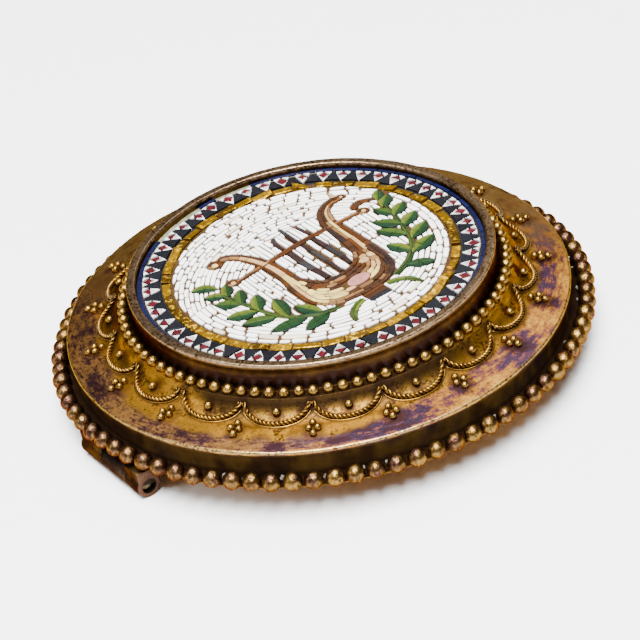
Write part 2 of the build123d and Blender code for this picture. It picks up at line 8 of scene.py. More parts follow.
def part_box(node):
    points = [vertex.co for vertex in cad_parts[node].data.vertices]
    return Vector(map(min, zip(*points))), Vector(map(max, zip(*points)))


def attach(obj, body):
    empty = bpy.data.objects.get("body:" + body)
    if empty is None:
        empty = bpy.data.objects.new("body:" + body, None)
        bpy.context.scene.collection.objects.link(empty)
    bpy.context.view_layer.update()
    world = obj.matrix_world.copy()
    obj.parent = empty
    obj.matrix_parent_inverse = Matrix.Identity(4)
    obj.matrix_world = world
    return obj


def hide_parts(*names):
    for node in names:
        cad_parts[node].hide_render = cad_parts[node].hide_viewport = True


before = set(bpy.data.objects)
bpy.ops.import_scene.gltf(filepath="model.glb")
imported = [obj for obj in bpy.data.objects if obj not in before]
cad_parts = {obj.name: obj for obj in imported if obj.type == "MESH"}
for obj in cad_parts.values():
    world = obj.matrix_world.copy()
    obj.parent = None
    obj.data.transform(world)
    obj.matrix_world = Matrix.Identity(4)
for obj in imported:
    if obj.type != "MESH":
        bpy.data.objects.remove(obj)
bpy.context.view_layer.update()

# Camera: it stands low in front and to the left of the lyre's foot, with a long lens, turned a
# little over its own axis. It looks at the middle of the ring of beads.
MM = 0.001
FOCAL_PIXELS = 2843.9
PICTURE_PIXELS = 640
SENSOR = 36.0
CAMERA_DISTANCE = 216.7 * MM
BEAD_RING_MIDDLE = Vector((0.0, 0.0, 3.145 * MM))
MIDDLE_RIGHT, MIDDLE_UP = 0.4, 3.14
elevation, azimuth, roll = (math.radians(angle) for angle in (33.718, -120.0, -10.226))

reach = math.cos(elevation)
back = Vector((reach * math.cos(azimuth), reach * math.sin(azimuth), math.sin(elevation)))
level = Vector((-math.sin(azimuth), math.cos(azimuth), 0.0))
upright = back.cross(level)
right = math.cos(roll) * level + math.sin(roll) * upright
up = math.cos(roll) * upright - math.sin(roll) * level
pixel = CAMERA_DISTANCE / FOCAL_PIXELS
place = BEAD_RING_MIDDLE + back * CAMERA_DISTANCE
place = place - right * MIDDLE_RIGHT * pixel - up * MIDDLE_UP * pixel

lens = bpy.data.cameras.new("camera")
lens.sensor_width = SENSOR
lens.lens = SENSOR * FOCAL_PIXELS / PICTURE_PIXELS
lens.clip_start = 0.01
camera = bpy.data.objects.new("camera", lens)
camera.matrix_world = Matrix.Translation(place) @ Matrix((right, up, back)).transposed().to_4x4()
bpy.context.scene.collection.objects.link(camera)
bpy.context.scene.camera = camera


# Shader arithmetic, then the floor and the light: a pale sheet of paper under a large soft box
# overhead, a smaller one in front of it and two weak ones at the sides.
MID_RADIUS = 18.0


class Value:
    """One output socket of a finish's nodes. Arithmetic on it adds Math nodes."""

    def __init__(self, finish, socket):
        self.finish, self.socket = finish, socket

    def apply(self, operation, *others):
        """One Math node whose first input is this value."""
        inputs = dict(enumerate((self, *others)))
        return self.finish.make("ShaderNodeMath", {"operation": operation}, inputs)

    def __add__(self, other):
        return self.apply("ADD", other)

    def __sub__(self, other):
        return self.apply("SUBTRACT", other)

    def __rsub__(self, other):
        return self * -1.0 + other

    def __mul__(self, other):
        return self.apply("MULTIPLY", other)

    def atleast(self, other):
        return self.apply("MAXIMUM", other)

    def fade(self, low, high):
        """0 where the value is below low, 1 above high and a soft step between; the other way
        round if low > high."""
        inputs = {"Value": self, "From Min": min(low, high), "From Max": max(low, high)}
        settings = {"interpolation_type": "SMOOTHSTEP"}
        step = self.finish.make("ShaderNodeMapRange", settings, inputs)
        return step if low < high else 1.0 - step

    __radd__, __rmul__ = __add__, __mul__


class Finish:
    """A material and its nodes, which read positions on the object in millimetres."""

    def __init__(self, name):
        self.material = bpy.data.materials.new(name)
        self.material.use_nodes = True
        self.tree = self.material.node_tree
        self.shader = self.tree.nodes["Principled BSDF"]
        metres = self.make("ShaderNodeTexCoord", {}, {}, "Object")
        self.place = self.vector("MULTIPLY", metres, (1 / MM,) * 3)

    def feed(self, node, inputs):
        """Links each named input to a value, or sets it."""
        for name, value in inputs.items():
            if isinstance(value, Value):
                self.tree.links.new(value.socket, node.inputs[name])
            else:
                node.inputs[name].default_value = value

    def make(self, kind, settings, inputs, output=0):
        """Adds one node and gives one of its outputs."""
        node = self.tree.nodes.new(kind)
        for name, value in settings.items():
            setattr(node, name, value)
        self.feed(node, inputs)
        return Value(self, node.outputs[output])

    def vector(self, operation, first, second=(0.0, 0.0, 0.0), output=0):
        """Adds one Vector Math node."""
        settings = {"operation": operation}
        return self.make("ShaderNodeVectorMath", settings, {0: first, 1: second}, output)

    def noise(self, size, detail=2.0, seed=0.0, stretch=(1.0, 1.0, 1.0), place=None):
        """Cloudy pattern from 0 to 1 with patches of about size millimetres."""
        scale = tuple(part / size for part in stretch)
        place = self.vector("MULTIPLY", place or self.place, scale)
        place = self.vector("ADD", place, (seed, seed * 0.7, seed * 1.3))
        inputs = {"Vector": place, "Scale": 1.0, "Detail": detail}
        return self.make("ShaderNodeTexNoise", {}, inputs)

    def blend(self, under, *layers):
        """Colours laid over a first one in turn, each as far as its amount goes, 0 to 1."""
        for over, amount in layers:
            pair = [part if isinstance(part, Value) else (*part, 1.0) for part in (under, over)]
            inputs = {0: amount, 6: pair[0], 7: pair[1]}
            under = self.make("ShaderNodeMix", {"data_type": "RGBA"}, inputs, 2)
        return under

    def ramp(self, value, *stops):
        """Colour picked from stops of position, red, green and blue."""
        picked = self.make("ShaderNodeValToRGB", {}, {"Fac": value})
        elements = picked.socket.node.color_ramp.elements
        for _ in stops[2:]:
            elements.new(1.0)
        for element, (position, *colour) in zip(elements, stops):
            element.position = position
            element.color = (*colour, 1.0)
        return picked

    def axes(self):
        """x and y, the distance from the disc's axis, and the height, in millimetres."""
        parts = self.make("ShaderNodeSeparateXYZ", {}, {0: self.place}).socket.node
        x, y, z = (Value(self, output) for output in parts.outputs)
        flat = self.vector("MULTIPLY", self.place, (1.0, 1.0, 0.0))
        return x, y, self.vector("LENGTH", flat, output="Value"), z

    def around(self, radial):
        """Place for a pattern drawn out along the circle: the direction from the axis on a circle
        of 18 mm, and the distance and height together, times radial, as the third coordinate."""
        flat = self.vector("MULTIPLY", self.place, (1.0, 1.0, 0.0))
        ring = self.vector("MULTIPLY", self.vector("NORMALIZE", flat), (MID_RADIUS,) * 3)
        _, _, distance, z = self.axes()
        lift = self.make("ShaderNodeCombineXYZ", {}, {"Z": (distance + z) * radial})
        return self.vector("ADD", ring, lift)

    def wear(self, colour, roughness, height, depth, metallic=0.0, strength=1.0,
             tint=(1.0, 1.0, 1.0), specular=0.5):
        """Joins a colour, a roughness and a relief, whose height is times depth in millimetres,
        to the shader."""
        relief = {"Height": height, "Distance": depth * MM, "Strength": strength}
        bump = self.make("ShaderNodeBump", {}, relief)
        inputs = {"Base Color": colour, "Roughness": roughness, "Metallic": metallic}
        inputs |= {"Normal": bump, "Specular Tint": (*tint, 1.0), "Specular IOR Level": specular}
        self.feed(self.shader, inputs)
        return self.material


paper = Finish("floor_paper")
paper_grain = paper.noise(0.8, 3.0)
paper_colour = paper.blend((0.91, 0.91, 0.91), ((0.95, 0.95, 0.95), paper_grain))
paper.wear(paper_colour, 0.7, paper_grain, 0.01)
FLOOR_HALF = 1.5
square = ((-1, -1), (1, -1), (1, 1), (-1, 1))
floor_mesh = bpy.data.meshes.new("floor")
floor_corners = [(x * FLOOR_HALF, y * FLOOR_HALF, 0) for x, y in square]
floor_mesh.from_pydata(floor_corners, [], [(0, 1, 2, 3)])
floor_mesh.materials.append(paper.material)
floor = bpy.data.objects.new("floor", floor_mesh)
bpy.context.scene.collection.objects.link(floor)

sky = bpy.data.worlds.new("studio")
sky.use_nodes = True
sky.node_tree.nodes["Background"].inputs["Color"].default_value = (0.8, 0.79, 0.78, 1.0)
sky.node_tree.nodes["Background"].inputs["Strength"].default_value = 0.17
bpy.context.scene.world = sky

# name, place, width, height, watts
LIGHTS = (
    ("light_overhead", (-0.05, -0.05, 0.52), 0.34, 0.34, 12.5),
    ("light_key", (-0.14, -0.22, 0.43), 0.16, 0.16, 5.0),
    ("light_left", (-0.42, 0.1, 0.24), 0.12, 0.2, 1.0),
    ("light_right", (0.33, 0.22, 0.4), 0.22, 0.22, 0.7),
)
for name, spot, width, height, watts in LIGHTS:
    lamp = bpy.data.lights.new(name, "AREA")
    lamp.shape = "RECTANGLE"
    lamp.size, lamp.size_y = width, height
    lamp.energy = watts
    box = bpy.data.objects.new(name, lamp)
    facing = (Vector(spot) - BEAD_RING_MIDDLE).to_track_quat("Z", "Y")
    box.matrix_world = Matrix.Translation(spot) @ facing.to_matrix().to_4x4()
    bpy.context.scene.collection.objects.link(box)


# Turned mount: back plate, outer wall with its rolled lip, sloping flange, flare up to the
# ledge, and the bezel collar round the mosaic. Gold sheet, spun and soldered, worn bright on
# its two rims and stained brown to blue by heat.
BACK_Z, SEAT_Z, FLANGE_Z, LEDGE_Z, BEZEL_Z = 2.25, 2.65, 4.89, 6.59, 8.7
FLANGE_RADIUS, FLARE_RADIUS, LEDGE_RADIUS, POCKET_RADIUS = 19.26, 16.9, 15.3, 13.32
FLANGE_SLOPE = 0.18
flare_foot_z = FLANGE_Z + FLANGE_SLOPE * (FLANGE_RADIUS - FLARE_RADIUS)
flare_rise = LEDGE_Z - 0.24 - flare_foot_z
flare_run = FLARE_RADIUS - LEDGE_RADIUS
flare_curve = (flare_run**2 + flare_rise**2) / (2 * flare_rise)


def flare_height(radius):
    """Height of the mount's face: a slope of 0.18 down from the flare's foot outwards, and inwards
    from it a circle that starts level with that foot."""
    run = np.maximum(FLARE_RADIUS - radius, 0)
    flare = flare_foot_z + flare_curve - np.sqrt(flare_curve**2 - run**2)
    flange = FLANGE_Z + FLANGE_SLOPE * (FLANGE_RADIUS - radius)
    return np.where(radius > FLARE_RADIUS, flange, flare)


def ripple(points, length, seed):
    """Smooth unevenness of about -1 to 1: the mean of 24 plane waves of about the given length,
    each with its own direction and phase, times 3."""
    draw = np.random.default_rng(seed)
    waves = draw.normal(size=(24, 3))
    sizes = np.linalg.norm(waves, axis=1, keepdims=True)
    waves *= (2 * np.pi / length * draw.uniform(0.7, 1.4, (24, 1))) / sizes
    phase = draw.uniform(0, 2 * np.pi, 24)
    total = np.zeros(points.shape[:-1])
    for wave, shift in zip(waves, phase):
        total += np.sin(points @ wave + shift)
    return total * 3 / 24


def unit(vectors):
    """Vectors of length 1 in the same directions."""
    return vectors / np.linalg.norm(vectors, axis=-1, keepdims=True)


def rounded_line(corners, step):
    """Points along straight runs at most step apart. Each corner has a reach, and is replaced by
    the quadratic curve that leaves the runs at that distance from it."""
    corners = np.array(corners, float)
    points = [corners[:1, :2]]
    for before, corner, after in zip(corners, corners[1:], corners[2:]):
        tip, cut = corner[:2], corner[2]
        start, end = tip + unit(before[:2] - tip) * cut, tip + unit(after[:2] - tip) * cut
        t = np.linspace(0, 1, 6 if cut > 0 else 1)[:, None]
        points.append((1 - t) ** 2 * start + 2 * t * (1 - t) * tip + t**2 * end)
    points = np.concatenate([*points, corners[-1:, :2]])
    runs = []
    for start, end in zip(points, points[1:]):
        count = max(1, int(np.ceil(np.linalg.norm(end - start) / step)))
        runs.append(start + (end - start) * np.arange(count)[:, None] / count)
    return np.concatenate([*runs, points[-1:]])


def new_piece(name, points, faces, finish, slot, replaced, smooth=True, colours=None):
    """Mesh object from points (n, 3) in millimetres and arrays of faces, one array for each number
    of corners. It rides on the root body and stands for the replaced nodes."""
    mesh = bpy.data.meshes.new(name)
    corners = np.concatenate([part.ravel() for part in faces])
    sizes = np.concatenate([np.full(len(part), part.shape[1]) for part in faces])
    mesh.vertices.add(len(points))
    mesh.vertices.foreach_set("co", (np.asarray(points) * MM).astype(np.float32).ravel())
    mesh.loops.add(len(corners))
    mesh.loops.foreach_set("vertex_index", corners.astype(np.int32))
    mesh.polygons.add(len(sizes))
    mesh.polygons.foreach_set("loop_start", (np.cumsum(sizes) - sizes).astype(np.int32))
    mesh.polygons.foreach_set("use_smooth", np.full(len(sizes), smooth))
    if colours is not None:
        tint = mesh.color_attributes.new("tint", "FLOAT_COLOR", "POINT")
        rows = np.column_stack([colours, np.ones(len(colours))])
        tint.data.foreach_set("color", rows.astype(np.float32).ravel())
    mesh.update(calc_edges=True)
    mesh.materials.append(finish)
    piece = bpy.data.objects.new(name, mesh)
    bpy.context.scene.collection.objects.link(piece)
    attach(piece, "root")
    if replaced:
        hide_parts(*replaced)


def grid_faces(rows, columns, around_rows=False):
    """Corner numbers of the quads of a grid whose point (i, j) has number i * columns + j. Its
    columns close on themselves, and its rows may."""
    i = np.arange(rows if around_rows else rows - 1)[:, None]
    j = np.arange(columns)[None]
    i2, j2 = (i + 1) % rows * columns, (j + 1) % columns
    i = i * columns
    return np.stack([i + j, i + j2, i2 + j2, i2 + j], axis=-1).reshape(-1, 4)


def fan(hub, ring):
    """Triangles from a hub to each side of a closed ring of corner numbers."""
    return np.column_stack([np.full(len(ring), hub), ring, np.roll(ring, -1)])


def polar(reach, turn):
    """x and y of points at given distances and angles."""
    return np.stack([reach * np.cos(turn), reach * np.sin(turn)], axis=-1)


def turned(profile, columns):
    """Points of a profile (radius, height) turned round the disc's axis: x and y are the radius
    times the cosine and sine of the angle. Row i, column j."""
    angle = np.arange(columns) * 2 * np.pi / columns
    radius, height = profile.T[..., None]
    flat = polar(radius, angle)
    return np.concatenate([flat, (height + 0 * angle)[..., None]], axis=-1)


BODY_COLUMNS = 640
flare_radii = np.linspace(FLARE_RADIUS, LEDGE_RADIUS, 15)
flare_line = [(r, z, 0.0) for r, z in zip(flare_radii, flare_height(flare_radii))]
# radius, height, reach of the rounding
OUTSIDE = (
    (19.6, BACK_Z, 0), (20.0, BACK_Z, 0.12), (20.0, SEAT_Z, 0.12), (19.05, SEAT_Z, 0.12),
    (19.03, 4.36, 0.06), (19.28, 4.5, 0.07), (19.3, 4.9, 0.16), *flare_line,
    (15.22, 6.46, 0.05), (15.13, LEDGE_Z, 0.05), (14.2, LEDGE_Z, 0.12), (13.96, 7.3, 0.3),
    (13.94, 8.0, 0.2), (14.04, 8.3, 0.08), (14.04, BEZEL_Z, 0.15),
    (POCKET_RADIUS, BEZEL_Z, 0.15), (POCKET_RADIUS, 7.6, 0),
)
outside = rounded_line(OUTSIDE, 0.16)
body = turned(outside, BODY_COLUMNS)
radius = np.hypot(body[..., 0], body[..., 1])
height = body[..., 2]
rim = 0.6 * np.exp(-(((radius - 19.2) / 0.2) ** 2) - ((height - 4.75) / 0.28) ** 2)
rim += np.exp(-(((radius - 13.7) / 0.45) ** 2) - ((height - 8.6) / 0.3) ** 2)
wall = (height > 2.8) & (height < 4.4)
swell = 0.03 * ripple(body, 9.0, 1) + 0.01 * ripple(body, 3.2, 2) * (1 + 0.6 * wall)
pitted = -0.035 * np.maximum(ripple(body * (1, 1, 1.6), 0.42, 3) - 0.25, 0) * rim
pitted = pitted + 0.01 * ripple(body, 0.9, 4) * rim
dented = 0.035 * ripple(body, 5.0, 5) * np.exp(-(((radius - 18.2) / 1.2) ** 2))
fixed = (radius < 13.4) & (height < 8.4)
outward = body[..., :2] / radius[..., None]
push = np.where(fixed, 0, swell * 0.6 + pitted * 0.8)
body[..., :2] += outward * push[..., None]
body[..., 2] += np.where(fixed | (height < 2.8), 0, swell * 0.5 + pitted * 0.8 + dented)

SCALLOPS = 19
SCALLOP_TURN = math.radians(15.7)
SCALLOP_TIP = 16.7
BALL_RADIUS = 15.8
CLUSTER_RADIUS = 17.25
half_step = np.pi / SCALLOPS
foot_x, foot_y = LEDGE_RADIUS * math.sin(half_step), LEDGE_RADIUS * math.cos(half_step)
rise = SCALLOP_TIP - foot_y
arch_radius = (foot_x**2 + rise**2) / (2 * rise)
arch_half = math.atan2(foot_x, arch_radius - rise)

METAL = 1.0
gold = Finish("worn_gold")
x, y, from_axis, level_z = gold.axes()
clouds = gold.noise(3.4, 2.0, 3.1, place=gold.around(1.8))
streaks = gold.noise(0.9, 4.0, 11.0, place=gold.around(3.0))
patches = gold.noise(1.5, 4.0, 7.7)
speckle = gold.noise(0.2, 3.0, 1.9)
drawn_lines = gold.noise(0.6, 3.0, 21.0, place=gold.around(8.0))
grain = gold.noise(0.07, 2.0, 5.3)
along = gold.noise(4.0, 3.0, 12.4, place=gold.around(0.5))

# Flange: purple, copper and gold heat colours in front; paler at the back and at the left, which
# is painted sheen.
far = x * (0.5 / MID_RADIUS) + y * (0.87 / MID_RADIUS)
mid_flange = from_axis.fade(17.2, 17.9) * from_axis.fade(19.1, 18.5)
heat = (clouds * 0.4 + streaks * 0.36 + speckle * 0.16 + drawn_lines * 0.2 - 0.56) * 1.6
across = (from_axis - FLARE_RADIUS) * (1 / (FLANGE_RADIUS - FLARE_RADIUS))
warm_right = (x * 0.8 - y * 0.6).fade(2.0, 14.0)
in_front = far.fade(-0.6, -0.95)
stain = across * 0.18 + heat * 2.5 + warm_right * 0.12 - mid_flange * 0.1 - in_front * 0.05
flange_colour = gold.ramp(
    stain + 0.37,
    (0.08, 0.06, 0.024, 0.03), (0.22, 0.04, 0.034, 0.062), (0.32, 0.075, 0.032, 0.058),
    (0.43, 0.14, 0.05, 0.056), (0.53, 0.24, 0.086, 0.034), (0.66, 0.32, 0.135, 0.028),
    (0.92, 0.52, 0.25, 0.044),
)
back_flange_painted_sheen = gold.ramp(
    heat, (0.0, 0.34, 0.2, 0.065), (0.05, 0.27, 0.14, 0.045), (0.18, 0.1, 0.042, 0.032)
)
left_side = (x * (1 / MID_RADIUS)).fade(-0.45, -0.9)
left_flange_painted_sheen = gold.ramp(
    heat * 1.6 + 0.5,
    (0.3, 0.065, 0.027, 0.034), (0.44, 0.19, 0.088, 0.04), (0.58, 0.44, 0.215, 0.065),
)
specks = (grain * 0.5 + speckle * 0.5).fade(0.44, 0.36)
# Painted sheen over the back and the left of the flange, then dark specks.
flange_colour = gold.blend(
    flange_colour,
    (back_flange_painted_sheen, far.fade(-0.1, 0.6)),
    (left_flange_painted_sheen, left_side * 0.85),
    ((0.02, 0.01, 0.006), specks * 0.6),
)

# Flare: yellow between the scallops, olive towards the ledge, dark solder and painted shade round
# the ornaments.
yellow = gold.ramp(
    patches * 0.6 + speckle * 0.4,
    (0.38, 0.09, 0.04, 0.005), (0.48, 0.58, 0.275, 0.022), (0.6, 0.23, 0.105, 0.01),
)
olive = gold.ramp(
    patches * 0.5 + speckle * 0.5,
    (0.4, 0.022, 0.011, 0.003), (0.52, 0.14, 0.074, 0.009), (0.62, 0.05, 0.024, 0.005),
)
golden_right = (x * 0.95 - y * 0.3).fade(3.0, 12.0)
golden_side = golden_right.atleast((x * -1.0 + y * 0.03).fade(13.6, 14.9))
olive = gold.blend(olive, (yellow, golden_side * 0.75))
front_left = (x * (-0.82 / MID_RADIUS) - y * (0.57 / MID_RADIUS)).fade(0.62, 0.92)
flange_start = (from_axis + patches * 1.4 - front_left * 1.1).fade(17.2, 17.9)
top_colour = gold.blend(yellow, (flange_colour, flange_start))
top_colour = gold.blend(olive, (top_colour, (from_axis + patches * 0.5).fade(16.3, 16.9)))


def reach_of(out, side):
    """Root of the sum of the squares of two distances at right angles."""
    return (out * out + side * side).apply("SQRT")


turn = (y.apply("ARCTAN2", x) - SCALLOP_TURN).apply("WRAP", half_step, -half_step)
out = from_axis * turn.apply("COSINE") - (SCALLOP_TIP - arch_radius)
from_arch = (reach_of(out, from_axis * turn.apply("SINE")) - arch_radius).apply("ABSOLUTE")
side = half_step * CLUSTER_RADIUS - (turn * CLUSTER_RADIUS).apply("ABSOLUTE")
from_cluster = reach_of((from_axis - CLUSTER_RADIUS) * 0.75, side)
from_ball = reach_of(from_axis - BALL_RADIUS, turn * BALL_RADIUS)
uneven = speckle * 0.5 + patches * 0.5 - 0.5
# Dark halos round the arches, the clusters and the balls: solder grime and painted shade.
solder_and_painted_shade = (from_arch + uneven).fade(0.62, 0.22)
solder_and_painted_shade = solder_and_painted_shade.atleast((from_cluster + uneven * 1.4).fade(1.3, 0.65))
solder_and_painted_shade = solder_and_painted_shade.atleast((from_ball + uneven).fade(0.78, 0.36))
solder_and_painted_shade = solder_and_painted_shade * level_z.fade(4.9, 5.0)

# Wall darkened as a painted dark reflection, collar, the worn rims, grime and painted shade in the
# corners, and the bare back.
# The wall's dark colours are a painted dark reflection.
wall_painted_dark_reflection = gold.ramp(
    along * 0.8 + patches * 0.2,
    (0.4, 0.024, 0.012, 0.008), (0.48, 0.04, 0.02, 0.008), (0.54, 0.085, 0.046, 0.012),
    (0.62, 0.032, 0.017, 0.013),
)
collar_colour = gold.ramp(
    along * 0.5 + patches * 0.2 + level_z.fade(6.9, 8.2) * 0.3,
    (0.3, 0.016, 0.008, 0.006), (0.48, 0.024, 0.011, 0.008), (0.6, 0.06, 0.03, 0.01),
    (0.72, 0.13, 0.07, 0.02),
)
worn_colour = gold.ramp(
    speckle, (0.36, 0.05, 0.026, 0.009), (0.46, 0.24, 0.15, 0.045), (0.62, 0.36, 0.24, 0.09)
)
bezel_colour = gold.ramp(
    speckle * 0.6 + patches * 0.25 + grain * 0.15,
    (0.38, 0.03, 0.016, 0.009), (0.44, 0.13, 0.08, 0.042), (0.56, 0.26, 0.175, 0.1),
)
is_collar = from_axis.fade(14.45, 14.2) * level_z.fade(6.4, 6.7)
is_wall = level_z.fade(4.72, 4.6)
lip_worn = (from_axis + speckle * 0.16).fade(19.22, 19.31) * level_z.fade(4.68, 4.8)
bezel_worn = from_axis.fade(14.2, 14.1) * level_z.fade(8.38, 8.52)
# Darker at the ledge under its beads and in the seat under the edge beads: grime and painted
# shade.
ledge_grime_and_shade = (from_axis + patches * 0.6).fade(16.4, 15.6) * level_z.fade(6.95, 6.7)
ledge_grime_and_shade = ledge_grime_and_shade * level_z.fade(5.4, 5.9) * (1.0 - golden_side * 0.65)
seat_grime_and_shade = level_z.fade(3.3, 2.8) * level_z.fade(2.3, 2.5)
# The grime mask holds both grime and painted shade.
grime = (ledge_grime_and_shade * 0.88).atleast(seat_grime_and_shade * 0.85)
back_colour = gold.ramp(
    heat + 0.5, (0.42, 0.36, 0.19, 0.05), (0.54, 0.24, 0.11, 0.03), (0.64, 0.1, 0.045, 0.025)
)
colour = gold.blend(
    top_colour,
    ((0.026, 0.011, 0.006), solder_and_painted_shade * 0.75),
    (wall_painted_dark_reflection, is_wall),
    (collar_colour, is_collar),
    (worn_colour, lip_worn),
    (bezel_colour, bezel_worn),
    ((0.014, 0.007, 0.004), grime),
    (back_colour, level_z.fade(2.4, 2.28)),
)
roughness = 0.23 + speckle * 0.17 + grime * 0.25 + patches * 0.06 + is_wall * 0.38 + solder_and_painted_shade * 0.15
relief = speckle * 0.5 + grain * 0.25 + patches * 0.5
gold_finish = gold.wear(colour, roughness, relief, 0.035, METAL, 0.6, (0.65, 0.42, 0.25))

body_faces = [grid_faces(len(outside), BODY_COLUMNS)]
new_piece("mount_body", body.reshape(-1, 3), body_faces, gold_finish, "gold", ["gold_mount"])

# Back plate's face: the closed sheet of the same gold under the brooch, soldered to its wall
# all round, a little uneven, with a turned centre.
PLATE_COLUMNS = 180
back_radii = np.array([19.6, 19.0, 17.5, 15.0, 12.0, 9.0, 6.0, 3.0, 1.2])
plate_rows = len(back_radii)
plate = turned(np.column_stack([back_radii, np.full(plate_rows, BACK_Z)]), PLATE_COLUMNS)
plate[1:, :, 2] += 0.025 * ripple(plate[1:], 7.0, 8)
points = np.concatenate([plate.reshape(-1, 3), [[0, 0, BACK_Z]]])
hub = len(points) - 1
middle = fan(hub, hub - PLATE_COLUMNS + np.arange(PLATE_COLUMNS))
faces = [grid_faces(plate_rows, PLATE_COLUMNS), middle]
new_piece("back_plate", points, faces, gold_finish, "gold", ["gold_mount"])


# Beads: solid balls of gold, a large ring soldered round the back plate and a small one on the
# ledge, worn and scratched on their crowns, with dark pits, and painted shade on their lower
# halves and at the left and right.
def repeated(faces, count, points_each):
    """Faces of several copies of a shape, whose corner numbers are raised by the points that come
    before each copy."""
    steps = (np.arange(count) * points_each)[:, None, None]
    return [(part[None] + steps).reshape(-1, part.shape[1]) for part in faces]


def ball(rings, columns):
    """Unit ball: rows of points at equal steps of height angle between two poles."""
    rise = np.pi * (np.arange(1, rings) / rings - 0.5)
    sides = turned(np.column_stack([np.cos(rise), np.sin(rise)]), columns)
    points = np.concatenate([[[0, 0, -1]], sides.reshape(-1, 3), [[0, 0, 1]]])
    top = len(points) - 1
    ring = np.arange(columns)
    ends = np.concatenate([fan(0, 1 + ring[::-1]), fan(top, top - columns + ring)])
    return points, [grid_faces(rings - 1, columns) + 1, ends]


def copies(points, faces, places, scales):
    """One shape set at many places: each copy is the shape times its scale plus its place."""
    many = points[None] * scales[:, None] + places[:, None]
    return many.reshape(-1, 3), repeated(faces, len(places), len(points))


def on_circle(turn, reach, height):
    """Points at given angles, distances from the disc's axis and heights."""
    return np.column_stack([polar(reach, turn), height])


def bead_ring(name, count, ring_radius, size, foot_z, shape, seed, pressed=0.0):
    """Balls at equal angles on a circle, each a little off its place and its size, sunk a little
    into what they stand on. Round 4 degrees and round 135 degrees the ring is pressed in by a
    bell curve as deep as the last number."""
    draw = np.random.default_rng(seed)
    turn = (np.arange(count) + draw.uniform(-0.03, 0.03, count)) * 2 * np.pi / count
    reach = ring_radius + draw.normal(0, 0.02, count)
    for middle, spread in ((4, 10), (135, 22)):
        off_turn = (np.degrees(turn) - middle + 180) % 360 - 180
        reach -= pressed * np.exp(-((off_turn / spread) ** 2))
    middle_z = foot_z + size / 2 - BEAD_SINK
    places = on_circle(turn, reach, middle_z + draw.normal(0, 0.008, count))
    grow = np.clip(draw.normal(-0.015, 0.03, (count, 1)), -0.09, 0.03)
    scales = size / 2 * (1 + grow + draw.normal(0, 0.01, (count, 3)))
    points, faces = copies(*ball(*shape), places, scales)
    points += (0.008 * ripple(points, 0.7, seed))[:, None]
    new_piece(name, points, faces, bead_finish, "gold", ["gold_mount"])


bead_gold = Finish("bead_gold")
x, y, from_axis, level_z = bead_gold.axes()
single = bead_gold.noise(1.7, 1.0, 4.4)
blotch = bead_gold.noise(0.5, 4.0, 2.2)
scratch = bead_gold.noise(0.2, 4.0, 8.8, (1.0, 1.0, 0.6))
fine = bead_gold.noise(0.08, 2.0, 3.8)
colour = bead_gold.ramp(
    single * 0.6 + blotch * 0.4,
    (0.36, 0.17, 0.098, 0.024), (0.46, 0.12, 0.064, 0.015), (0.53, 0.075, 0.037, 0.012),
    (0.6, 0.062, 0.026, 0.017), (0.68, 0.036, 0.016, 0.012),
)
pits = (scratch * 0.7 + fine * 0.3).fade(0.44, 0.38)
# painted shade on the lower half, the right side and the left side; then the ledge's ring,
# scratches and pits
colour = bead_gold.blend(
    colour,
    ((0.05, 0.027, 0.013), level_z.fade(3.25, 2.75) * 0.65),
    ((0.06, 0.026, 0.017), x.fade(14.0, 19.0) * 0.5),
    ((0.045, 0.02, 0.015), x.fade(-14.0, -19.0) * 0.65),
    ((0.3, 0.175, 0.034), from_axis.fade(18.4, 17.9) * 0.62),
    ((0.25, 0.16, 0.06), scratch.fade(0.5, 0.62) * 0.35),
    ((0.016, 0.008, 0.005), pits * 0.85),
)
roughness = 0.2 + blotch * 0.22 + pits * 0.35
relief = scratch * 0.8 + blotch * 0.6 + fine * 0.3
bead_finish = bead_gold.wear(colour, roughness, relief, 0.06, METAL, 0.8, (0.6, 0.38, 0.22))

EDGE_BEADS, LEDGE_BEADS = 85, 86
EDGE_BEAD, LEDGE_BEAD, BEAD_SINK = 1.4, 0.88, 0.2
EDGE_RING, LEDGE_RING = 20.32, 14.65
bead_ring("edge_beads", EDGE_BEADS, EDGE_RING, EDGE_BEAD, SEAT_Z, (14, 22), 21, pressed=0.26)
bead_ring("ledge_beads", LEDGE_BEADS, LEDGE_RING, LEDGE_BEAD, LEDGE_Z, (10, 14), 22)


# Residue: pale crumbs of dried polish caught between the beads and the wall, most of them in
# front and on the right.
CRUMBS = 46
draw = np.random.default_rng(35)
slots_between = draw.choice(np.arange(50, 82), CRUMBS)
turn = (slots_between + 0.5 + draw.normal(0, 0.1, CRUMBS)) * 2 * np.pi / EDGE_BEADS
reach = draw.uniform(19.5, 19.75, CRUMBS)
places = on_circle(turn, reach, draw.uniform(2.75, 3.0, CRUMBS))
scales = draw.uniform(0.07, 0.17, (CRUMBS, 1)) * draw.uniform(0.6, 1.4, (CRUMBS, 3))
points, faces = copies(*ball(7, 10), places, scales)
points += (0.04 * ripple(points, 0.25, 36))[:, None]
chalk = Finish("dried_polish")
crumb = chalk.noise(0.15, 3.0, 1.0)
colour = chalk.ramp(crumb, (0.4, 0.035, 0.032, 0.022), (0.6, 0.12, 0.11, 0.085))
chalk_finish = chalk.wear(colour, 0.85, crumb, 0.05)
new_piece("polish_residue", points, faces, chalk_finish, "slab", [])


# Scallops: two gold wires twisted into a rope and bent into arches along the flare, each with
# a finer plain wire round its outside, all soldered down.
STRAND = 0.105
TWIST = 0.66


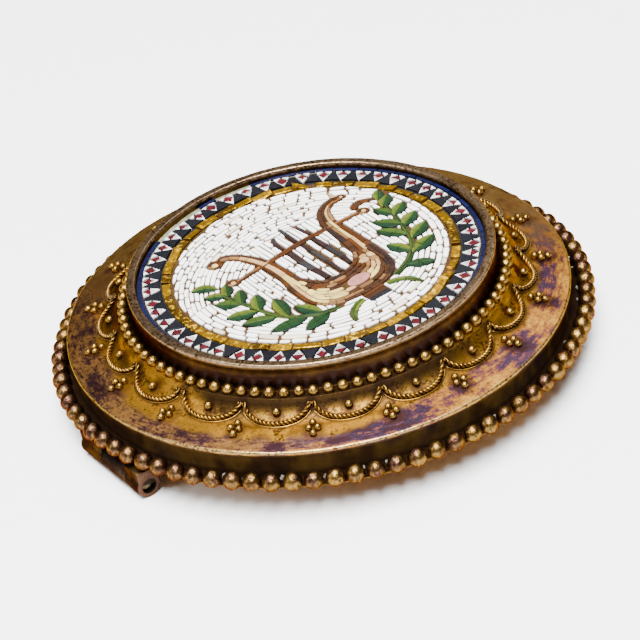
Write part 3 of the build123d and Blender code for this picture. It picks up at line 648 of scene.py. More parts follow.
def arch(share, grow):
    """Points and surface normals along one scallop, from share 0 to 1 of its length: an arc of a
    circle seen from above, laid on the flare. Its radial direction is +x."""
    swing = (share * 2 - 1) * arch_half
    reach = arch_radius + grow
    along_x = SCALLOP_TIP - arch_radius + reach * np.cos(swing)
    along_y = reach * np.sin(swing)
    from_axis = np.hypot(along_x, along_y)
    step = 0.02
    slope = (flare_height(from_axis + step) - flare_height(from_axis - step)) / (2 * step)
    lean_x, lean_y = -slope * along_x / from_axis, -slope * along_y / from_axis
    points = np.column_stack([along_x, along_y, flare_height(from_axis)])
    return points, unit(np.column_stack([lean_x, lean_y, np.ones(len(share))]))


def tube_faces(rows, columns):
    """Faces of a tube with closed ends: the grid's quads, its first row and its last row."""
    row = np.arange(columns)[None]
    return [grid_faces(rows, columns), row[:, ::-1], (rows - 1) * columns + row]


def ring_outline(x, y, radius, points=20):
    """Closed circle: points at equal angles round x and y."""
    return (x, y) + polar(radius, 2 * np.pi * np.arange(points) / points)


def swept(path, lift, side, section):
    """Section of (up, across) carried along a path, up along each point's lift and across along
    its side. Its ends are closed."""
    offset = section[:, :1] * lift[:, None] + section[:, 1:] * side[:, None]
    return (path[:, None] + offset).reshape(-1, 3), tube_faces(len(path), len(section))


def tube(path, normals, thickness, sides):
    """Round tube along a path: a circle in the plane of the normal and of the side direction,
    which is the path's direction crossed with the normal."""
    direction = unit(np.gradient(path, axis=0))
    side = unit(np.cross(direction, normals))
    circle = ring_outline(0, 0, thickness, sides)
    return swept(path, np.cross(side, direction), side, circle)


def spun(x, y, turns):
    """x and y turned about the disc's axis, each row by its own angle."""
    c, s = np.cos(turns)[:, None], np.sin(turns)[:, None]
    return np.stack([c * x - s * y, s * x + c * y], axis=-1)


def spun_copies(points, faces, turns):
    """One shape turned about the disc's axis by each of the given angles."""
    x, y, z = points.T[:, None]
    flat = spun(x, y, turns)
    many = np.concatenate([flat, np.broadcast_to(z[..., None], (*flat.shape[:2], 1))], axis=-1)
    return many.reshape(-1, 3), repeated(faces, len(turns), len(points))


def merged(parts):
    """Several shapes as one: the points one after the other, and the corner numbers raised."""
    points = np.concatenate([part[0] for part in parts])
    starts = np.cumsum([0] + [len(part[0]) for part in parts])
    return points, [faces + start for (_, group), start in zip(parts, starts) for faces in group]


scallop_turns = SCALLOP_TURN + np.arange(SCALLOPS) * 2 * half_step
scallop_turns -= math.radians(1.3) * np.exp(-(((np.degrees(scallop_turns) - 175) / 18) ** 2))
arch_length = 2 * arch_half * arch_radius
share = np.linspace(0.01, 0.99, 96)
middle, normals = arch(share, -0.1)
sideways = np.cross(unit(np.gradient(middle, axis=0)), normals)
strands = []
for start in (0, np.pi):
    twist = (start + share * arch_length * 2 * np.pi / TWIST)[:, None]
    coil = STRAND * 0.95 * (np.cos(twist) * normals + np.sin(twist) * sideways)
    strands.append(tube(middle + normals * (STRAND * 1.7) + coil, normals, STRAND, 7))
points, faces = spun_copies(*merged(strands), scallop_turns)
points = points + (0.012 * ripple(points, 1.8, 31))[:, None]

wire_gold = Finish("wire_gold")
x, y, from_axis, level_z = wire_gold.axes()
blotch = wire_gold.noise(0.9, 3.0, 6.1)
fleck = wire_gold.noise(0.18, 2.0, 3.3)
colour = wire_gold.ramp(
    blotch * 0.7 + fleck * 0.3,
    (0.36, 0.25, 0.138, 0.027), (0.5, 0.18, 0.093, 0.016), (0.64, 0.07, 0.032, 0.009),
)
# Darker at the feet, next to the ledge under its beads: grime and painted shade.
wire_feet_grime_and_shade = from_axis.fade(15.95, 15.4) * 0.75
colour = wire_gold.blend(colour, ((0.04, 0.02, 0.007), wire_feet_grime_and_shade))
wire_finish = wire_gold.wear(colour, 0.28 + fleck * 0.2, fleck + blotch, 0.02, METAL, 0.6)
new_piece("scallop_ropes", points, faces, wire_finish, "gold", ["gold_mount"])

path, normals = arch(np.linspace(0.05, 0.95, 40), 0.16)
points, faces = spun_copies(*tube(path + normals * 0.03, normals, 0.062, 6), scallop_turns)
new_piece("scallop_wires", points, faces, wire_finish, "gold", ["gold_mount"])

# Granules: solid balls of gold, one in each scallop and a lozenge of four between each two,
# fused to the flare.
BALL, SMALL_BALL = 0.66, 0.56
draw = np.random.default_rng(41)
across = math.atan2(0.32, CLUSTER_RADIUS)
# distance from the axis, turn from the scallop's middle, size
GRANULES = (
    (BALL_RADIUS, 0, BALL),
    (CLUSTER_RADIUS - 0.525, half_step, SMALL_BALL),
    (CLUSTER_RADIUS + 0.525, half_step, SMALL_BALL),
    (CLUSTER_RADIUS, half_step - across, SMALL_BALL),
    (CLUSTER_RADIUS, half_step + across, SMALL_BALL),
)
places, scales = [], []
for reach, turn, size in GRANULES:
    turns = scallop_turns + turn + draw.normal(0, 0.0022, SCALLOPS)
    reaches = reach + draw.normal(0, 0.03, SCALLOPS)
    places.append(on_circle(turns, reaches, flare_height(reaches) + size / 2 - 0.1))
    scales.append(size / 2 * (1 + draw.normal(0, 0.03, (SCALLOPS, 1)) + np.zeros((1, 3))))
points, faces = copies(*ball(9, 14), np.concatenate(places), np.concatenate(scales))
new_piece("granules", points, faces, bead_finish, "gold", ["gold_mount"])


# Hinge: a tube cut into three knuckles under the left edge, the outer two on feet soldered to
# the back plate, the middle one part of the pin. Open at its ends, with a rivet inside.
HINGE_X = -19.65
HINGE_RADIUS = 0.95
BORE_RADIUS = 0.575
STEM_Y = -1.77
FOOT_TOP = BACK_Z + 0.06
FRONT_KNUCKLE, PIN_KNUCKLE, BACK_KNUCKLE = (-5.35, -3.45), (-3.37, -0.17), (-0.09, 2.71)
HINGE_MIDDLE = (HINGE_X, 0, HINGE_RADIUS)
ALONG_X, ALONG_Y = [2, 1, 0], [0, 2, 1]


def lathe(profile, columns, centre, order, closed=False):
    """Profile of (distance along the axis, radius) turned round an axis, its coordinates then
    put in order so that the axis runs along x or y. A line that isn't closed has its ends
    closed."""
    points = turned(profile[:, ::-1], columns)[..., order] + np.array(centre)
    rows = len(profile)
    faces = [grid_faces(rows, columns, True)] if closed else tube_faces(rows, columns)
    return points.reshape(-1, 3), faces


def knuckle(start, end, seed):
    """Length of tube: the outline of its wall, with rounded edges, turned round the hinge's axis.
    A ripple dents its outside."""
    middle = ((start + end) / 2, HINGE_RADIUS, 0)
    near = (start, HINGE_RADIUS, 0.1), (start, BORE_RADIUS, 0.07)
    away = (end, BORE_RADIUS, 0.07), (end, HINGE_RADIUS, 0.1)
    line = rounded_line([middle, *near, *away, middle], 0.12)[:-1]
    points, faces = lathe(line, 48, HINGE_MIDDLE, ALONG_Y, closed=True)
    out = unit((points - np.array(HINGE_MIDDLE)) * (1, 0, 1))
    dents = np.minimum(ripple(points, 1.4, seed), 0) * 0.03 * (points[:, 2] > 0.3)
    return points + out * dents[:, None], faces


def hinge_foot(start, end):
    """Block under the back plate that spreads inwards from a knuckle: an outline in the plane
    across the hinge, carried along it, with its ends closed."""
    corners = (
        (-20.42, 1.25, 0), (-20.46, FOOT_TOP, 0.1), (-17.72, FOOT_TOP, 0.1), (-17.8, 1.62, 0.15),
        (-18.55, 1.38, 0.25), (-18.8, 1.02, 0.1), (-19.3, 0.95, 0.1), (-20.42, 1.25, 0),
    )
    outline = rounded_line(corners, 0.2)[:-1]
    middle = outline.mean(0)
    rows = []
    places = start + 0.02, start + 0.07, end - 0.07, end - 0.02
    for y, shrink in zip(places, (0.93, 1.0, 1.0, 0.93)):
        ring = middle + (outline - middle) * shrink
        rows.append(np.column_stack([ring[:, 0], np.full(len(ring), y), ring[:, 1]]))
    return np.concatenate(rows), tube_faces(4, len(outline))


hinge_gold = Finish("hinge_gold")
x, y, from_axis, level_z = hinge_gold.axes()
blotch = hinge_gold.noise(1.1, 4.0, 2.7)
fleck = hinge_gold.noise(0.22, 3.0, 9.1)
colour = hinge_gold.ramp(
    blotch * 0.75 + fleck * 0.25,
    (0.34, 0.055, 0.031, 0.009), (0.5, 0.026, 0.015, 0.006), (0.64, 0.012, 0.007, 0.005),
)
from_hinge = hinge_gold.vector("SUBTRACT", hinge_gold.place, HINGE_MIDDLE)
from_hinge = hinge_gold.vector("MULTIPLY", from_hinge, (1.0, 0.0, 1.0))
from_hinge = hinge_gold.vector("LENGTH", from_hinge, output="Value")
colour = hinge_gold.blend(
    colour,
    ((0.09, 0.045, 0.03), y.fade(-5.18, -5.32) * 0.8),
    # painted shade inside the bore of the knuckles
    ((0.02, 0.015, 0.01), from_hinge.fade(0.66, 0.58)),
)
hinge_finish = hinge_gold.wear(
    colour, 0.42 + fleck * 0.25, fleck + blotch, 0.04, METAL, 0.7, (0.45, 0.35, 0.25)
)
parts = [knuckle(*FRONT_KNUCKLE, 51), knuckle(*BACK_KNUCKLE, 52)]
parts += [hinge_foot(*FRONT_KNUCKLE), hinge_foot(*BACK_KNUCKLE)]
new_piece("hinge_knuckles", *merged(parts), hinge_finish, "gold", ["gold_mount"])

# Rivet: a wire of darker metal put through the three knuckles, a little rusty, and short of
# the tube's open ends.
RIVET_RADIUS, RIVET_START, RIVET_END = 0.525, -4.95, 2.31
shoulders = (RIVET_END, RIVET_RADIUS, 0.15), (RIVET_START, RIVET_RADIUS, 0.15)
rivet_line = rounded_line([(RIVET_END, 0, 0), *shoulders, (RIVET_START, 0, 0)], 0.3)
rivet_line[[0, -1], 1] = 0.01
rivet_metal = Finish("rivet_metal")
rust = rivet_metal.noise(0.3, 4.0, 1.4)
colour = rivet_metal.ramp(rust, (0.38, 0.2, 0.15, 0.08), (0.6, 0.05, 0.035, 0.025))
rivet_finish = rivet_metal.wear(colour, 0.5 + rust * 0.2, rust, 0.04, metallic=0.9, strength=0.7)
rivet = lathe(rivet_line, 28, HINGE_MIDDLE, ALONG_Y)
new_piece("hinge_rivet_wire", *rivet, rivet_finish, "gold", ["hinge_rivet"])

# Pin: the middle knuckle and a tapered stem of harder, duller metal that runs across the back
# and through the catch to a blunt point.
STEM_RADIUS = 0.42
STEM_TIP_X = 20.4
stem_length = STEM_TIP_X - HINGE_X
stem_corners = [
    (-0.75, 0.01, 0), (-0.75, STEM_RADIUS, 0.05), (stem_length - 6, STEM_RADIUS, 1.0),
    (stem_length, 0.09, 0.06), (stem_length, 0.01, 0),
]
stem_line = rounded_line(stem_corners, 0.8)
stem_line = stem_line[stem_line[:, 0] > 0.6][::-1]
stem = lathe(stem_line, 24, (HINGE_X, STEM_Y, HINGE_RADIUS), ALONG_X)
pin_metal = Finish("pin_metal")
blotch = pin_metal.noise(1.4, 4.0, 3.7, (0.4, 1.0, 1.0))
fleck = pin_metal.noise(0.2, 3.0, 6.6, (0.3, 1.0, 1.0))
colour = pin_metal.ramp(
    blotch * 0.7 + fleck * 0.3,
    (0.36, 0.042, 0.03, 0.021), (0.5, 0.023, 0.017, 0.013), (0.64, 0.011, 0.008, 0.007),
)
pin_finish = pin_metal.wear(
    colour, 0.36 + fleck * 0.25, fleck + blotch, 0.03, METAL, 0.7, (0.45, 0.38, 0.3)
)
pin = merged([knuckle(*PIN_KNUCKLE, 53), stem])
new_piece("pin", *pin, pin_finish, "pin_metal", ["pin_stem"])

# Catch: a strip of gold sheet, bent twice into a hook and soldered under the right edge. It is
# open towards the lyre's foot, where the stem goes in.
CATCH_X, CATCH_WIDTH = 18.0, 2.6
SHEET, SHEET_EDGE = 0.48, 0.07
BEND, BENDS_APART = 0.71, 1.6
strip_y, bottom_z = STEM_Y + BENDS_APART + BEND, HINGE_RADIUS - BEND
swing = np.linspace(0, np.pi / 2, 9)
over, down = BEND * np.cos(swing), BEND * np.sin(swing)
bend_one = np.column_stack([STEM_Y + BENDS_APART + over, HINGE_RADIUS - down])
bend_two = np.column_stack([STEM_Y - down, HINGE_RADIUS - over])
straight = [[strip_y, FOOT_TOP], [strip_y, 1.9], [strip_y, 1.4]]
line = np.concatenate([straight, bend_one, [[-0.9, bottom_z]], bend_two])
path = np.column_stack([np.full(len(line), CATCH_X), line])
side = np.broadcast_to((1.0, 0.0, 0.0), path.shape)
lift = np.cross(side, unit(np.gradient(path, axis=0)))
half, thick = CATCH_WIDTH / 2, SHEET / 2
lower = [(SHEET_EDGE - thick, -half), (-thick, SHEET_EDGE - half)]
lower += [(-thick, half - SHEET_EDGE), (SHEET_EDGE - thick, half)]
section = np.array(lower + [(-up, across) for up, across in lower[::-1]])
points, faces = swept(path, lift, side, section)
faces = [part[:, ::-1] for part in faces]
new_piece("catch", points, faces, hinge_finish, "gold", ["gold_mount"])


# Stones of the mosaic: rods of opaque glass, broken to length and set on end in putty, rubbed
# down level and polished. Each is an outline with a bevelled top.
# the picture is drawn in units of 1/106 of the ground's radius
PICTURE_RADIUS = 106
MOSAIC_Z, TILE_Z = 8.25, 7.45
STONE_FOOT = TILE_Z + 0.25
ground_low, ground_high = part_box("white_ground")
UNIT = (ground_high.x - ground_low.x) / MM / 2 / PICTURE_RADIUS


def areas(outlines):
    """Area of each closed outline: half the sum of the cross products of its sides' ends."""
    after = np.roll(outlines, -1, axis=1)
    return 0.5 * (outlines[..., 0] * after[..., 1] - outlines[..., 1] * after[..., 0]).sum(1)


def inset(outlines, amount):
    """Closed outlines (n, k, 2), turned anticlockwise and moved inwards: each point goes along
    the mean of the inward normals of its two sides."""
    outlines = np.where((areas(outlines) < 0)[:, None, None], outlines[:, ::-1], outlines)
    ahead = np.roll(outlines, -1, axis=1) - outlines
    ahead /= np.maximum(np.linalg.norm(ahead, axis=2, keepdims=True), 1e-6)
    inward = np.stack([-ahead[..., 1], ahead[..., 0]], axis=-1)
    both = inward + np.roll(inward, 1, axis=1)
    both /= np.maximum(np.linalg.norm(both, axis=2, keepdims=True), 0.6)
    return outlines + both * amount


def stones(name, batches, finish, slot, node, seed, grime, bevel, dirty, lift=0.012, tilt=0.02):
    """Stones from batches of outlines (n, k, 2) in millimetres, drawn anticlockwise, with colours
    (n, 3) or (n, k, 3). Each outline gives a ring at the foot, one just under the top, and one
    inside it at the top, which is level but for a small lift and tilt of its own. The colour
    turns to grime at the rim."""
    draw = np.random.default_rng(seed)
    parts, tints = [], []
    for outlines, colours in batches:
        count, sides = outlines.shape[:2]
        middle = outlines.mean(1, keepdims=True)
        slope = draw.normal(0, tilt, (count, 1, 2))
        top = inset(outlines, bevel)
        high = MOSAIC_Z + draw.normal(0, lift, (count, 1)) - 0.01
        crown = high + ((top - middle) * slope).sum(2)
        shoulder = high + ((outlines - middle) * slope).sum(2) - bevel
        foot = np.full((count, sides), STONE_FOOT)
        rings = (outlines, foot), (outlines, shoulder), (top, crown)
        rings = [np.concatenate([flat, level[..., None]], axis=2) for flat, level in rings]
        faces = repeated(tube_faces(3, sides), count, 3 * sides)
        parts.append((np.stack(rings, axis=1).reshape(-1, 3), faces))
        dirt = np.array([1.0, 0.5, 0.0])[None, :, None, None]
        dirt = dirty * draw.uniform(0.6, 1.2, (count, 1, 1, 1)) * dirt
        shade = colours[:, None, None] if colours.ndim == 2 else colours[:, None]
        shade = shade * (1 - dirt) + np.array(grime) * dirt
        tints.append(np.broadcast_to(shade, (count, 3, sides, 3)).reshape(-1, 3))
    points, faces = merged(parts)
    new_piece(name, points, faces, finish, slot, [node], False, np.concatenate(tints))


def glass(name, roughness, spread, pit):
    """Opaque glass that takes its colour from the stone, with streaks and brown pits."""
    finish = Finish(name)
    tint = finish.make("ShaderNodeAttribute", {"attribute_name": "tint"}, {}, "Color")
    streak = finish.noise(0.5, 3.0, 2.0, (1.0, 0.5, 1.0))
    fleck = finish.noise(0.11, 3.0, 5.0)
    scale = 1.0 + (streak * 0.6 + fleck * 0.4 - 0.5) * (spread * 6)
    pits = fleck.fade(0.33, 0.26)
    colour = finish.blend(finish.vector("MULTIPLY", tint, scale), ((0.1, 0.06, 0.03), pits * pit))
    roughness = roughness + fleck * 0.25 + pits * 0.3
    relief = streak * 0.5 + fleck * 0.6 - pits
    return finish.wear(colour, roughness, relief, 0.03, strength=0.5, specular=0.12)


white_glass = glass("white_glass", roughness=0.3, spread=0.07, pit=0.8)
colour_glass = glass("colour_glass", roughness=0.26, spread=0.28, pit=0.7)


# Outlines of the picture, in parts of the ground's radius: the lyre, its strings and the two
# laurel branches.
def smooth(rows):
    """Rows of a table with five more set between each two: the cubic that takes its slope at each
    from the rows on both sides of it."""
    rows = np.array(rows, float)
    ends = np.concatenate([rows[:1], rows, rows[-1:]])
    p, q, r, s = (ends[i : i + len(rows) - 1, None] for i in range(4))
    t = (np.arange(6) / 6)[None, :, None]
    bend = p - 2.5 * q + 2 * r - s / 2 + t * (1.5 * (q - r) + (s - p) / 2)
    between = q + t * ((r - p) / 2 + t * bend)
    return np.concatenate([between.reshape(-1, rows.shape[1]), rows[-1:]])


# bands: x, y, half width
left_arm = smooth((
    (-47, 55, 3.4), (-42, 54, 4.2), (-36.5, 49, 4.4), (-32, 42, 4.6), (-28.5, 33, 5.2),
    (-25.8, 23, 5.4), (-24.7, 12, 5.5), (-24.5, 0, 6), (-25, -10, 7), (-25.3, -18, 8),
))
right_arm = smooth((
    (70, 57, 3), (65, 57.5, 4), (58, 56.5, 4.2), (50.5, 52, 4.8), (45.5, 45, 5.6), (42, 35, 6.4),
    (40.5, 24, 6.8), (40, 12, 7.2), (39.5, 0, 7.8), (38.6, -10, 8.4), (37.5, -18, 9),
))
crossbar = smooth((
    (-54, 19.8, 2.2), (-40, 21.8, 2.4), (-22, 23.8, 2.5), (0, 26.8, 2.6), (20, 28.4, 2.6),
    (42, 28, 2.5), (66, 28, 2.4),
))
horn_tip = smooth(((66, 60, 2.4), (66.5, 70, 0.6)))
tail_scroll = smooth(((66, 35, 2.4), (72, 39, 3.4), (79, 38.5, 2.8), (87, 33.5, 1.2)))
strings = [smooth(rows) for rows in (
    ((-3.5, 22, 2.4), (-4.5, 8, 2.7), (-4.2, -10, 2.7), (-3, -28, 2.4)),
    ((9.5, 23.5, 1.6), (9.5, 0, 1.7), (9.2, -28, 1.6)),
    ((20.2, 24.5, 2), (21.2, 5, 2.2), (21.5, -10, 2), (20.2, -24.5, 1.6)),
    ((-5, 30, 1.5), (-4.2, 42, 1.5), (-1, 49, 1.2)),
    ((8.7, 31, 1.6), (9, 43, 1.5), (9.7, 55.5, 1.2)),
    ((22, 32.5, 1.5), (21.2, 41, 1.5), (21, 47.5, 1)),
)]
left_stem = smooth((
    (-20, -66.5, 2.2), (-30, -64.5, 2.4), (-43, -58.5, 2.4), (-56, -47, 2.2), (-62, -33, 2),
    (-66, -17, 1.8), (-70, -2, 1.6), (-72.5, 14, 1.4),
))
right_stem = smooth((
    (33, -63.5, 2.2), (44, -59.5, 2.4), (56, -52, 2.4), (66, -42, 2.2), (73, -30, 2),
    (77.5, -16, 1.8), (82, 0, 1.6), (87, 20, 1.3),
))
left_shoot = smooth(((-3, -71.5, 2.4), (-12, -75.5, 2.8), (-19, -82, 2.6), (-23, -91, 1.2)))
right_shoot = smooth(((22.5, -68.5, 2.4), (32, -71, 2.8), (38.5, -77.5, 2.6), (42, -87, 1.2)))
# the sound box's outer and inner line, and its foot: x, y
box_outer = smooth((
    (-32.8, -14), (-33.8, -26), (-34, -40), (-31.5, -50.5), (-24.5, -59), (-14, -64.5), (2, -66.2),
    (18, -65.8), (31, -61.5), (40.5, -53.5), (45.5, -43), (46.8, -30), (46.6, -14),
))
box_inner = smooth((
    (29.5, -14), (26, -20.5), (20, -26.5), (11, -29.5), (3, -30.5), (-6, -29.5), (-12.5, -23.5),
    (-17.5, -14),
))
box_foot = np.array([(0, -63), (19, -63), (19.5, -79), (0.5, -78.5)], float)
# x, y, radius
KNOBS = ((-53.5, 52, 6.2), (-57.2, 21, 5.2), (70.5, 27, 4.8), (70.5, 57.5, 3.8))
# base x and y, tip x and y, half width, sideways bow
LEFT_LEAVES = (
    (-71, 22, -87, 35, 5.2, -3), (-71, 11, -85, 20, 4.8, 0), (-69.5, -8, -84, 7, 6.2, 0),
    (-66, -25.5, -88.5, -15.5, 6, 0), (-61, -42, -84.5, -31, 6.4, 0),
    (-45, -59.5, -75, -55, 6, 0), (-30, -66.5, -55.5, -72.5, 5.6, 0),
    (-71, 8, -62.5, 24, 4.6, 0), (-69.5, -8, -59, 10, 4.8, 0), (-64.5, -25, -54.5, -5, 5.6, 0),
    (-54, -48.5, -48.5, -20, 5.8, 0), (-33.5, -63, -43.5, -40, 5.6, 0),
)
RIGHT_LEAVES = (
    (87, 30, 96.5, 43, 4.6, 0), (84, 20, 98, 32, 5.6, 0), (82.5, 3, 99.5, 13.5, 5.6, 0),
    (78, -14.5, 98, -4, 5.8, 0), (72, -33.5, 94.5, -22, 6.2, 0), (60, -50, 87, -41.5, 6.4, 0),
    (46, -59, 66.5, -71.5, 5.6, 0), (84.5, 3, 77, 23, 4.8, 0), (79.5, -11.5, 65, 8.5, 5.6, 0),
    (73, -26.5, 60, -3.5, 5.8, 0), (61.5, -47, 53.5, -25.5, 5.8, 0),
)


def band_frame(rows):
    """Middle line, left-hand normals and half widths of a band."""
    ahead = unit(np.gradient(rows[:, :2], axis=0))
    return rows[:, :2], np.column_stack([-ahead[:, 1], ahead[:, 0]]), rows[:, 2]


def band_outline(rows):
    """Closed outline of a band: its left edge, then its right edge back."""
    middle, left, half = band_frame(rows)
    edge = left * half[:, None]
    return np.concatenate([middle + edge, (middle - edge)[::-1]])


def leaf_rows(row):
    """Leaf as a band: its half width follows half a sine wave, to the power 0.8, from base to
    tip, and its middle line bows sideways in a parabola as high as the last number."""
    x0, y0, x1, y1, half, bow = row
    t = np.linspace(0, 1, 13)
    length = math.hypot(x1 - x0, y1 - y0)
    arc = 4 * t * (1 - t) * bow / length
    x, y = x0 + (x1 - x0) * t - (y1 - y0) * arc, y0 + (y1 - y0) * t + (x1 - x0) * arc
    return np.column_stack([x, y, half * np.sin(np.pi * t) ** 0.8 + 0.15])


bands = [left_arm, right_arm, crossbar, horn_tip, tail_scroll, left_stem, right_stem]
bands += [left_shoot, right_shoot, *strings]
bands += [leaf_rows(row) for row in LEFT_LEAVES + RIGHT_LEAVES]
drawn = [np.concatenate([box_outer, box_inner]), box_foot]
drawn += [band_outline(rows) for rows in bands] + [ring_outline(*knob) for knob in KNOBS]


def clearance(points, outlines):
    """Distance of each point to the nearest of some closed outlines, negative inside one: the
    least distance to its sides, with a sign from how many of them a line to the right crosses."""
    nearest = np.full(len(points), 20.0)
    for outline in outlines:
        in_box = (points > outline.min(0) - 6) & (points < outline.max(0) + 6)
        near = np.flatnonzero(in_box.all(1))
        if not len(near):
            continue
        p = points[near][:, None]
        a, b = outline[None], np.roll(outline, -1, axis=0)[None]
        side = b - a
        share = ((p - a) * side).sum(2) / np.maximum((side**2).sum(2), 1e-9)
        share = np.clip(share, 0, 1)[..., None]
        gap = np.linalg.norm(p - a - share * side, axis=2).min(1)
        rise = np.where(np.abs(side[..., 1]) < 1e-9, 1e-9, side[..., 1])
        crossing = a[..., 0] + side[..., 0] * (p[..., 1] - a[..., 1]) / rise
        crosses = ((a[..., 1] > p[..., 1]) != (b[..., 1] > p[..., 1])) & (p[..., 0] < crossing)
        inside = crosses.sum(1) % 2 == 1
        nearest[near] = np.minimum(nearest[near], np.where(inside, -gap, gap))
    return nearest


# White ground: rows of white rods, arched over the lyre, round the rim below it, and standing
# up between the strings and beside the arms. They stop short of whatever is drawn.
def free(points, taken, zone, edge):
    """The least of each point's distances to what is drawn, to its zone's border and to the
    rim, the first two less a margin."""
    room = clearance(points, taken) - edge
    room = np.minimum(room, -clearance(points, [zone]) - edge * 0.5)
    return np.minimum(room, PICTURE_RADIUS + 0.2 - np.linalg.norm(points, axis=1))


def trimmed(outlines, taken, zone, edge):
    """The outlines whose middle is free. A corner that isn't free slides towards the middle until
    it is."""
    outlines = outlines[free(outlines.mean(1), taken, zone, edge) > 0]
    middle = outlines.mean(1)[:, None]
    share = np.zeros(outlines.shape[:2])
    shut = np.zeros(outlines.shape[:2], bool)
    for step in np.linspace(0.1, 1, 10):
        spots = middle + (outlines - middle) * step
        shut |= free(spots.reshape(-1, 2), taken, zone, edge).reshape(share.shape) < 0
        share = np.where(shut, share, step)
    reach = np.where(shut, 0.1, 0.0)
    for _ in range(4):
        reach = reach / 2
        spots = middle + (outlines - middle) * (share + reach)[..., None]
        clear = free(spots.reshape(-1, 2), taken, zone, edge).reshape(share.shape) >= 0
        share = share + np.where(clear, reach, 0)
    return middle + (outlines - middle) * share[..., None]


def lay_rows(centre, radii, angles, row_height, lengths, zone, seed, edge=0.25):
    """Outlines of rods laid in rows round a centre, in picture units. Each row is a circle; its
    free stretches are cut into rods of about the given lengths. A corner of a rod that isn't
    free slides towards the rod's middle until it is."""
    draw = np.random.default_rng(seed)
    centre = np.array(centre, float)
    borders = [radii[0]]
    while borders[-1] < radii[1]:
        borders.append(borders[-1] + row_height * draw.uniform(0.86, 1.14))
    borders = np.array(borders)
    middles = (borders[1:] + borders[:-1]) / 2
    swing = np.arange(angles[0], angles[1], 0.5 / middles.mean())
    grid = (centre + polar(middles[:, None], swing)).reshape(-1, 2)
    room = free(grid, drawn, zone, edge).reshape(len(middles), len(swing)) > 0.15
    rods = []
    for i, row in enumerate(room):
        changes = np.flatnonzero(np.diff(np.concatenate([[0], row.astype(int), [0]])))
        for start, end in changes.reshape(-1, 2):
            first, last = swing[start], swing[end - 1]
            span = (last - first) * middles[i]
            if span < row_height * 0.35:
                continue
            count = max(1, int(round(span / draw.uniform(*lengths))))
            cuts = np.linspace(0, 1, count + 1)
            cuts[1:-1] += draw.uniform(-0.25, 0.25, count - 1) / count
            reach = min(row_height * 0.6, span * 0.5) / middles[i]
            cuts = first + (last - first) * cuts
            cuts[0] -= reach
            cuts[-1] += reach
            rods += [(a, b, borders[i], borders[i + 1]) for a, b in zip(cuts, cuts[1:])]
    a, b, low, high = np.array(rods).T[..., None]
    each = a.shape
    corner = draw.uniform(0.1, 0.6, each) * (high - low) / ((b - a) * (high + low) / 2)
    corner = np.minimum(corner, 0.3)
    across = draw.uniform(0.12, 0.44, each)
    t = (corner, 0.36, 0.64, 1 - corner, 1, 1, 1 - corner, 0.64, 0.36, corner, 0, 0)
    s = (0, 0, 0, 0, across, 1 - across, 1, 1, 1, 1, 1 - across, across)
    t, s = (np.concatenate([part + 0 * a for part in parts], axis=1) for parts in (t, s))
    skew = draw.normal(0, 0.05, each) * (s - 0.5)
    gaps = np.minimum(draw.exponential(0.04, (2, *each)), 0.16)
    t = gaps[0] + (1 - gaps[0] - gaps[1]) * t
    turn = a + (b - a) * np.clip(t + skew, -0.02, 1.02)
    sway = draw.normal(0, 0.05, each) + draw.normal(0, 0.06, each) * (t - 0.5)
    up_share = s * draw.uniform(0.9, 1.02, each) + sway + draw.normal(0, 0.022, s.shape)
    reach = low + (high - low) * up_share
    outlines = trimmed(centre + polar(reach, turn), drawn, zone, edge)
    return outlines[np.abs(areas(outlines)) > row_height**2 * 0.3]


# lines that border the zones: the stems, the arms above the strings, the bar beyond them
LEFT_LINE = ((-70, -2), (-66, -17), (-62, -33), (-56, -47), (-43, -58.5), (-22, -66))
RIGHT_LINE = ((30, -64), (44, -59.5), (56, -52), (66, -42), (73, -30), (77.5, -16), (82, 0))
ARMS_LINE = ((-27, 28), (-32, 42), (-31, 50), (46, 50), (44, 40))
LEFT_BAR, RIGHT_BAR = ((-72, 14), (-57, 21)), ((41, 28), (70, 28), (88, 28))
LEFT_RIM, RIGHT_RIM = (-112, 6), (112, 24)
ZONE_INSIDE = ((-25, -36), (-24.5, 12), *ARMS_LINE, (40.5, 24), (39, -36))
ZONE_LEFT = ((-25, 22), *LEFT_BAR[::-1], *LEFT_LINE, (-20, -50), (-27, 0))
ZONE_RIGHT = (*RIGHT_BAR, (87, 20), *RIGHT_LINE[::-1], (30, -50), (41, 0))
ZONE_ABOVE = (
    LEFT_RIM, *LEFT_BAR, (-25, 24), *ARMS_LINE, *RIGHT_BAR, RIGHT_RIM, (112, 112), (-112, 112)
)
ZONE_BELOW = (
    LEFT_RIM, LEFT_BAR[0], *LEFT_LINE, (2, -64), *RIGHT_LINE, RIGHT_BAR[-1], RIGHT_RIM,
    (112, -112), (-112, -112),
)
FAR = 4000
# centre, first and last radius, first and last angle, row height, least and greatest length, zone
ROW_GROUPS = (
    ((0, -25), (45, 134), (-0.1, np.pi + 0.1), 4.1, (9, 16), ZONE_ABOVE),
    ((0, 0), (56, 106), (-np.pi - 0.3, 0.5), 4.6, (11, 18), ZONE_BELOW),
    ((-FAR, 0), (FAR - 34, FAR + 52), (-40 / FAR, 56 / FAR), 4.0, (11, 20), ZONE_INSIDE),
    ((-FAR, 0), (FAR - 76, FAR - 20), (-70 / FAR, 26 / FAR), 3.9, (12, 22), ZONE_LEFT),
    ((-FAR, 0), (FAR + 40, FAR + 92), (-66 / FAR, 30 / FAR), 4.2, (8, 15), ZONE_RIGHT),
)
WHITE, YELLOWING = np.array([0.93, 0.91, 0.89]), np.array([0.0, 0.015, 0.05])
STAINED = np.array([0.66, 0.56, 0.4])
ground_batches = []
draw = np.random.default_rng(61)
